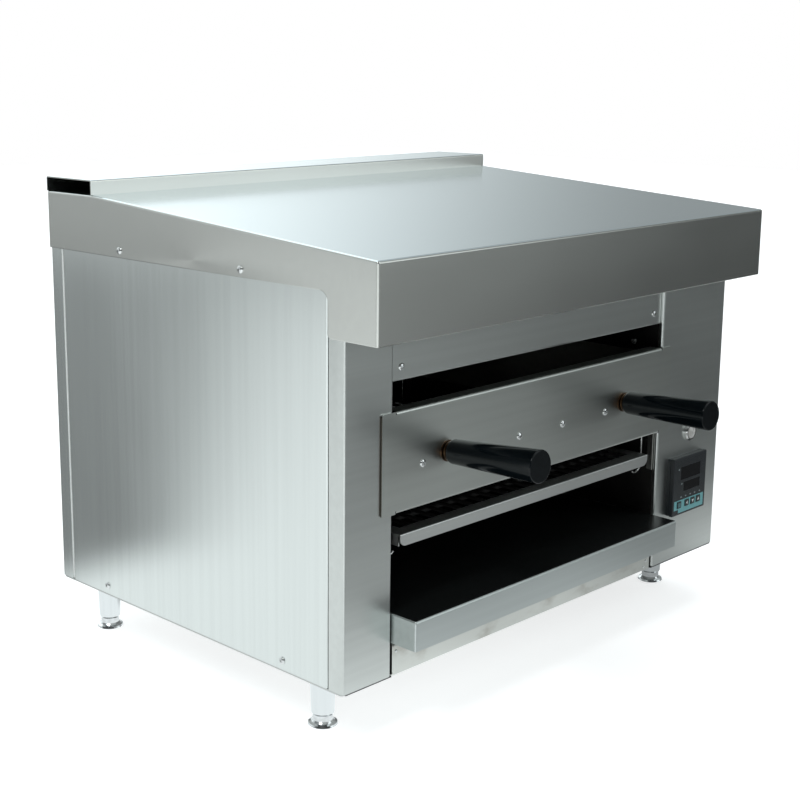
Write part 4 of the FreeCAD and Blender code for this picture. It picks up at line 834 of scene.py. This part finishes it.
# %% Pale seam beads, a painted highlight
PANEL_REAR, STRIP_FRONT = 449.0, 451.0
BEAD_FOOT, BEAD_TOP = 1.0, 394.0
BEAD_STEPS = 48
BEAD_ARC = (0.0, 0.18, 0.36, 0.5, 0.64, 0.82, 1.0)
BEAD_ROOT = 2.4
LAP_ON_PANEL, LAP_ON_STRIP = 0.5, 0.3
# painted highlight: the bead's pale colour stands for the light on the rounded fold of the side panel's
# rear edge
FINISHES["painted_seam_highlight"] = moulded("painted_seam_highlight", (0.74, 0.75, 0.74), (0.84, 0.85, 0.84), 0.32, 700, 0.2)


def skin(made, loops):
    """Close a tube of equal loops: a strip of faces between neighbours and one face on each end."""
    for lower, upper in zip(loops, loops[1:]):
        for index in range(len(lower)):
            after = (index + 1) % len(lower)
            made.faces.new((lower[index], lower[after], upper[after], upper[index]))
    made.faces.new(loops[0])
    made.faces.new(loops[-1])
    bmesh.ops.recalc_face_normals(made, faces=made.faces)


def bulge(step, way):
    """How far the bead stands proud at this step up the seam."""
    return 0.35 + 0.10 * math.sin(step * 1.7) + 0.06 * math.sin(step * 4.1 + way)


def bead(name, way):
    """The pale bead, a painted highlight, in the upright seam on one side: way is -1 on the left and 1 on
    the right.
    """
    made = bmesh.new()
    loops = []
    start, end = PANEL_REAR - LAP_ON_PANEL, STRIP_FRONT + LAP_ON_STRIP
    for step in range(BEAD_STEPS + 1):
        z = BEAD_FOOT + (BEAD_TOP - BEAD_FOOT) * step / BEAD_STEPS
        section = [(SIDE_FACE - BEAD_ROOT, PANEL_REAR)]
        for share in BEAD_ARC:
            out = SIDE_FACE - LAP_ON_PANEL + bulge(step, way) * math.sin(math.pi * share)
            section.append((out, start + (end - start) * share))
        section.append((SIDE_FACE - BEAD_ROOT, STRIP_FRONT))
        loops.append([made.verts.new(at(way * x, y, z)) for x, y in section])
    skin(made, loops)
    piece = new_piece(name, finished_mesh(made, name, 60))
    piece.data.materials.append(FINISHES["painted_seam_highlight"])
    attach(piece, "cabinet")
    return piece


beads = [bead("seam_bead_left", -1), bead("seam_bead_right", 1)]
print("beads:", sum(len(piece.data.polygons) for piece in beads), "faces")

# %% [markdown]
# Under the stile and the control panel a dark strip is set along the joint to the pan: painted shade
# for the shadow under their lower edges. Only its front edge shows, as a thin dark line. It has a
# round nose and a groove along its back.

# %% Painted shade under the stile and the control panel
SHADE_STRIP_HIGH = 1.5
SHADE_STRIP_DEEP = 2.7
SHADE_STRIP_NOSE = [(0.5, 0.0), (0.12, -0.25), (0.0, -0.6), (0.0, -0.9), (0.12, -1.25), (0.5, -SHADE_STRIP_HIGH)]
SHADE_STRIP_BACK = [(SHADE_STRIP_DEEP, -SHADE_STRIP_HIGH), (SHADE_STRIP_DEEP, -1.1), (2.2, -0.75), (SHADE_STRIP_DEEP, -0.4), (SHADE_STRIP_DEEP, 0.0)]


def pan_shade_strip(name, left, right):
    """A length of the dark strip, painted shade, from one x to another."""
    made = bmesh.new()
    skin(made, [[made.verts.new(at(x, y, z)) for y, z in SHADE_STRIP_NOSE + SHADE_STRIP_BACK] for x in (left, right)])
    piece = new_piece(name, finished_mesh(made, name, 50))
    # painted shade: the strip takes the dark moulding of the cable gland to stand for the shadow under the
    # panels
    piece.data.materials.append(FINISHES["gland_plastic"])
    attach(piece, "cabinet")
    return piece


shade_strips = [pan_shade_strip("pan_seal_left", -325.0, -261.5), pan_shade_strip("pan_seal_right", 193.5, 325.0)]
print("pan seals:", len(shade_strips))

# %% [markdown]
# ## Controller face
# The bezel is one dark moulding with a printed film along its lower edge: a teal band that the four
# keys come through, with a step cut from its lower left corner. The band is a sheet a tenth of a
# millimetre thick, made as a grid of cells from which the key wells and the step are left out.

# %% Printed band
FACE_Y = -9.0
FILM = 0.12
CONTROLLER_MIDDLE = (255.5, 93.8)
BAND = (-32.4, 31.7, -33.1, -17.3)
BAND_STEP = (-23.0, -28.8)
KEY_CENTRES = (-21.6, -5.0, 7.9, 20.2)
KEY_LINE = -23.0
WELL_HALF = (4.55, 4.25)


def on_controller(x, z, y=FACE_Y):
    """A place given from the middle of the controller's face."""
    return at(CONTROLLER_MIDDLE[0] + x, y, CONTROLLER_MIDDLE[1] + z)


def in_band(x, z):
    """Whether the film covers this spot of the face."""
    in_step = x < BAND_STEP[0] and z < BAND_STEP[1]
    on_key_line = abs(z - KEY_LINE) < WELL_HALF[1]
    in_well = on_key_line and any(abs(x - middle) < WELL_HALF[0] for middle in KEY_CENTRES)
    return not in_step and not in_well


def printed_band(name):
    """The film, cell by cell, a tenth of a millimetre thick."""
    columns = {BAND[0], BAND[1], BAND_STEP[0]}
    for middle in KEY_CENTRES:
        columns |= {middle - WELL_HALF[0], middle + WELL_HALF[0]}
    columns = sorted(columns)
    rows = sorted({BAND[2], BAND[3], BAND_STEP[1], KEY_LINE - WELL_HALF[1], KEY_LINE + WELL_HALF[1]})
    made = bmesh.new()
    corner = {(x, z): made.verts.new(on_controller(x, z, FACE_Y - FILM)) for x in columns for z in rows}
    for left, right in zip(columns, columns[1:]):
        for low, high in zip(rows, rows[1:]):
            if in_band((left + right) / 2, (low + high) / 2):
                ring = ((left, low), (right, low), (right, high), (left, high))
                made.faces.new([corner[spot] for spot in ring])
    loose = [vertex for vertex in made.verts if not vertex.link_faces]
    bmesh.ops.delete(made, geom=loose, context="VERTS")
    grown = bmesh.ops.extrude_face_region(made, geom=list(made.faces), use_keep_orig=True)
    moved = [item for item in grown["geom"] if isinstance(item, bmesh.types.BMVert)]
    bmesh.ops.translate(made, verts=moved, vec=Vector((0, FILM * MM, 0)))
    bmesh.ops.recalc_face_normals(made, faces=made.faces)
    return new_piece(name, finished_mesh(made, name))


band = printed_band("controller_band")
FINISHES["band_film"] = moulded("band_film", (0.16, 0.42, 0.45), (0.20, 0.50, 0.53), 0.34, 1500, 0.05)
band.data.materials.append(FINISHES["band_film"])
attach(band, "cabinet")
print("band:", len(band.data.polygons), "faces")

# %% [markdown]
# Five small indicator windows stand in a row above the band, and one mark stands beside each display.
# They are little pillows of clear plastic, all the same, so the placing tree sets them too.

# %% Indicator windows
INDICATOR_SIZE = (2.6, 1.5, 0.35)
INDICATOR_LINE = -13.7
INDICATORS_X = (-18.0, -7.9, 2.5, 12.2, 23.0)
DISPLAY_MARKS = [(-24.8, 21.6), (-17.6, 2.9)]


def pillow(name, wide, high, thick):
    """A low rounded block, its back on the plane z = 0 and its face up."""
    made = bmesh.new()
    block(made, (-wide / 2 * MM, -high / 2 * MM, 0), (wide / 2 * MM, high / 2 * MM, thick * MM))
    bmesh.ops.bevel(made, geom=list(made.edges), offset=thick * 0.4 * MM, segments=2, affect="EDGES")
    bmesh.ops.recalc_face_normals(made, faces=made.faces)
    return new_piece(name, finished_mesh(made, name, 40))


clear = moulded("indicator_plastic", (0.30, 0.34, 0.36), (0.38, 0.42, 0.44), 0.25, 1500, 0.05)
indicator_pattern = pillow("indicator_pattern", *INDICATOR_SIZE)
indicator_spots = [(x, INDICATOR_LINE) for x in INDICATORS_X] + DISPLAY_MARKS
indicator_places = [(on_controller(x, z), FRONTWARD) for x, z in indicator_spots]
set_pattern("controller_indicators", indicator_pattern, indicator_places, clear, "cabinet")
bpy.data.objects.remove(indicator_pattern)

# %% [markdown]
# Each key carries a raised sign. The first has a small square of bars, the others the plain pale
# pointers that step a value: sideways, down and up. A sign rides with its key, so it goes in when
# the key is pressed.

# %% Key signs
KEY_FACE_Y = FACE_Y - 0.8
SIGN_THICK = 0.12
BAR_HALF, BAR_HIGH = 2.6, 0.8
BAR_LINES = (-2.4, -1.1, 0.2, 1.5)
TIP, WING, BACK = 2.2, 2.4, 1.6
FINISHES["sign_ink"] = moulded("sign_ink", (0.66, 0.70, 0.70), (0.74, 0.78, 0.78), 0.4, 1500, 0.05)
FINISHES["teal_ink"] = moulded("teal_ink", (0.10, 0.26, 0.28), (0.13, 0.31, 0.33), 0.4, 1500, 0.05)


def key_sign(number, outlines, ink):
    """Raise closed outlines, given in millimetres from the key's middle, on the face of one key."""
    made = bmesh.new()
    for outline in outlines:
        loops = []
        for y in (KEY_FACE_Y, KEY_FACE_Y - SIGN_THICK):
            places = [on_controller(KEY_CENTRES[number - 1] + x, KEY_LINE + z, y) for x, z in outline]
            loops.append([made.verts.new(place) for place in places])
        skin(made, loops)
    piece = new_piece("key_%d_sign" % number, finished_mesh(made, "key_%d_sign" % number))
    piece.data.materials.append(FINISHES[ink])
    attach(piece, "key_%d" % number)
    return piece


bars = []
for z in BAR_LINES:
    bars.append([(-BAR_HALF, z), (BAR_HALF, z), (BAR_HALF, z + BAR_HIGH), (-BAR_HALF, z + BAR_HIGH)])
sideways_pointer = [(-TIP, 0.0), (BACK, -WING), (BACK, WING)]
down_pointer = [(0.0, -TIP), (WING, BACK), (-WING, BACK)]
up_pointer = [(0.0, TIP), (-WING, -BACK), (WING, -BACK)]
key_sign(1, bars, "teal_ink")
for number, pointer in ((2, sideways_pointer), (3, down_pointer), (4, up_pointer)):
    key_sign(number, [pointer], "sign_ink")
print("signs on", len(KEY_CENTRES), "keys")
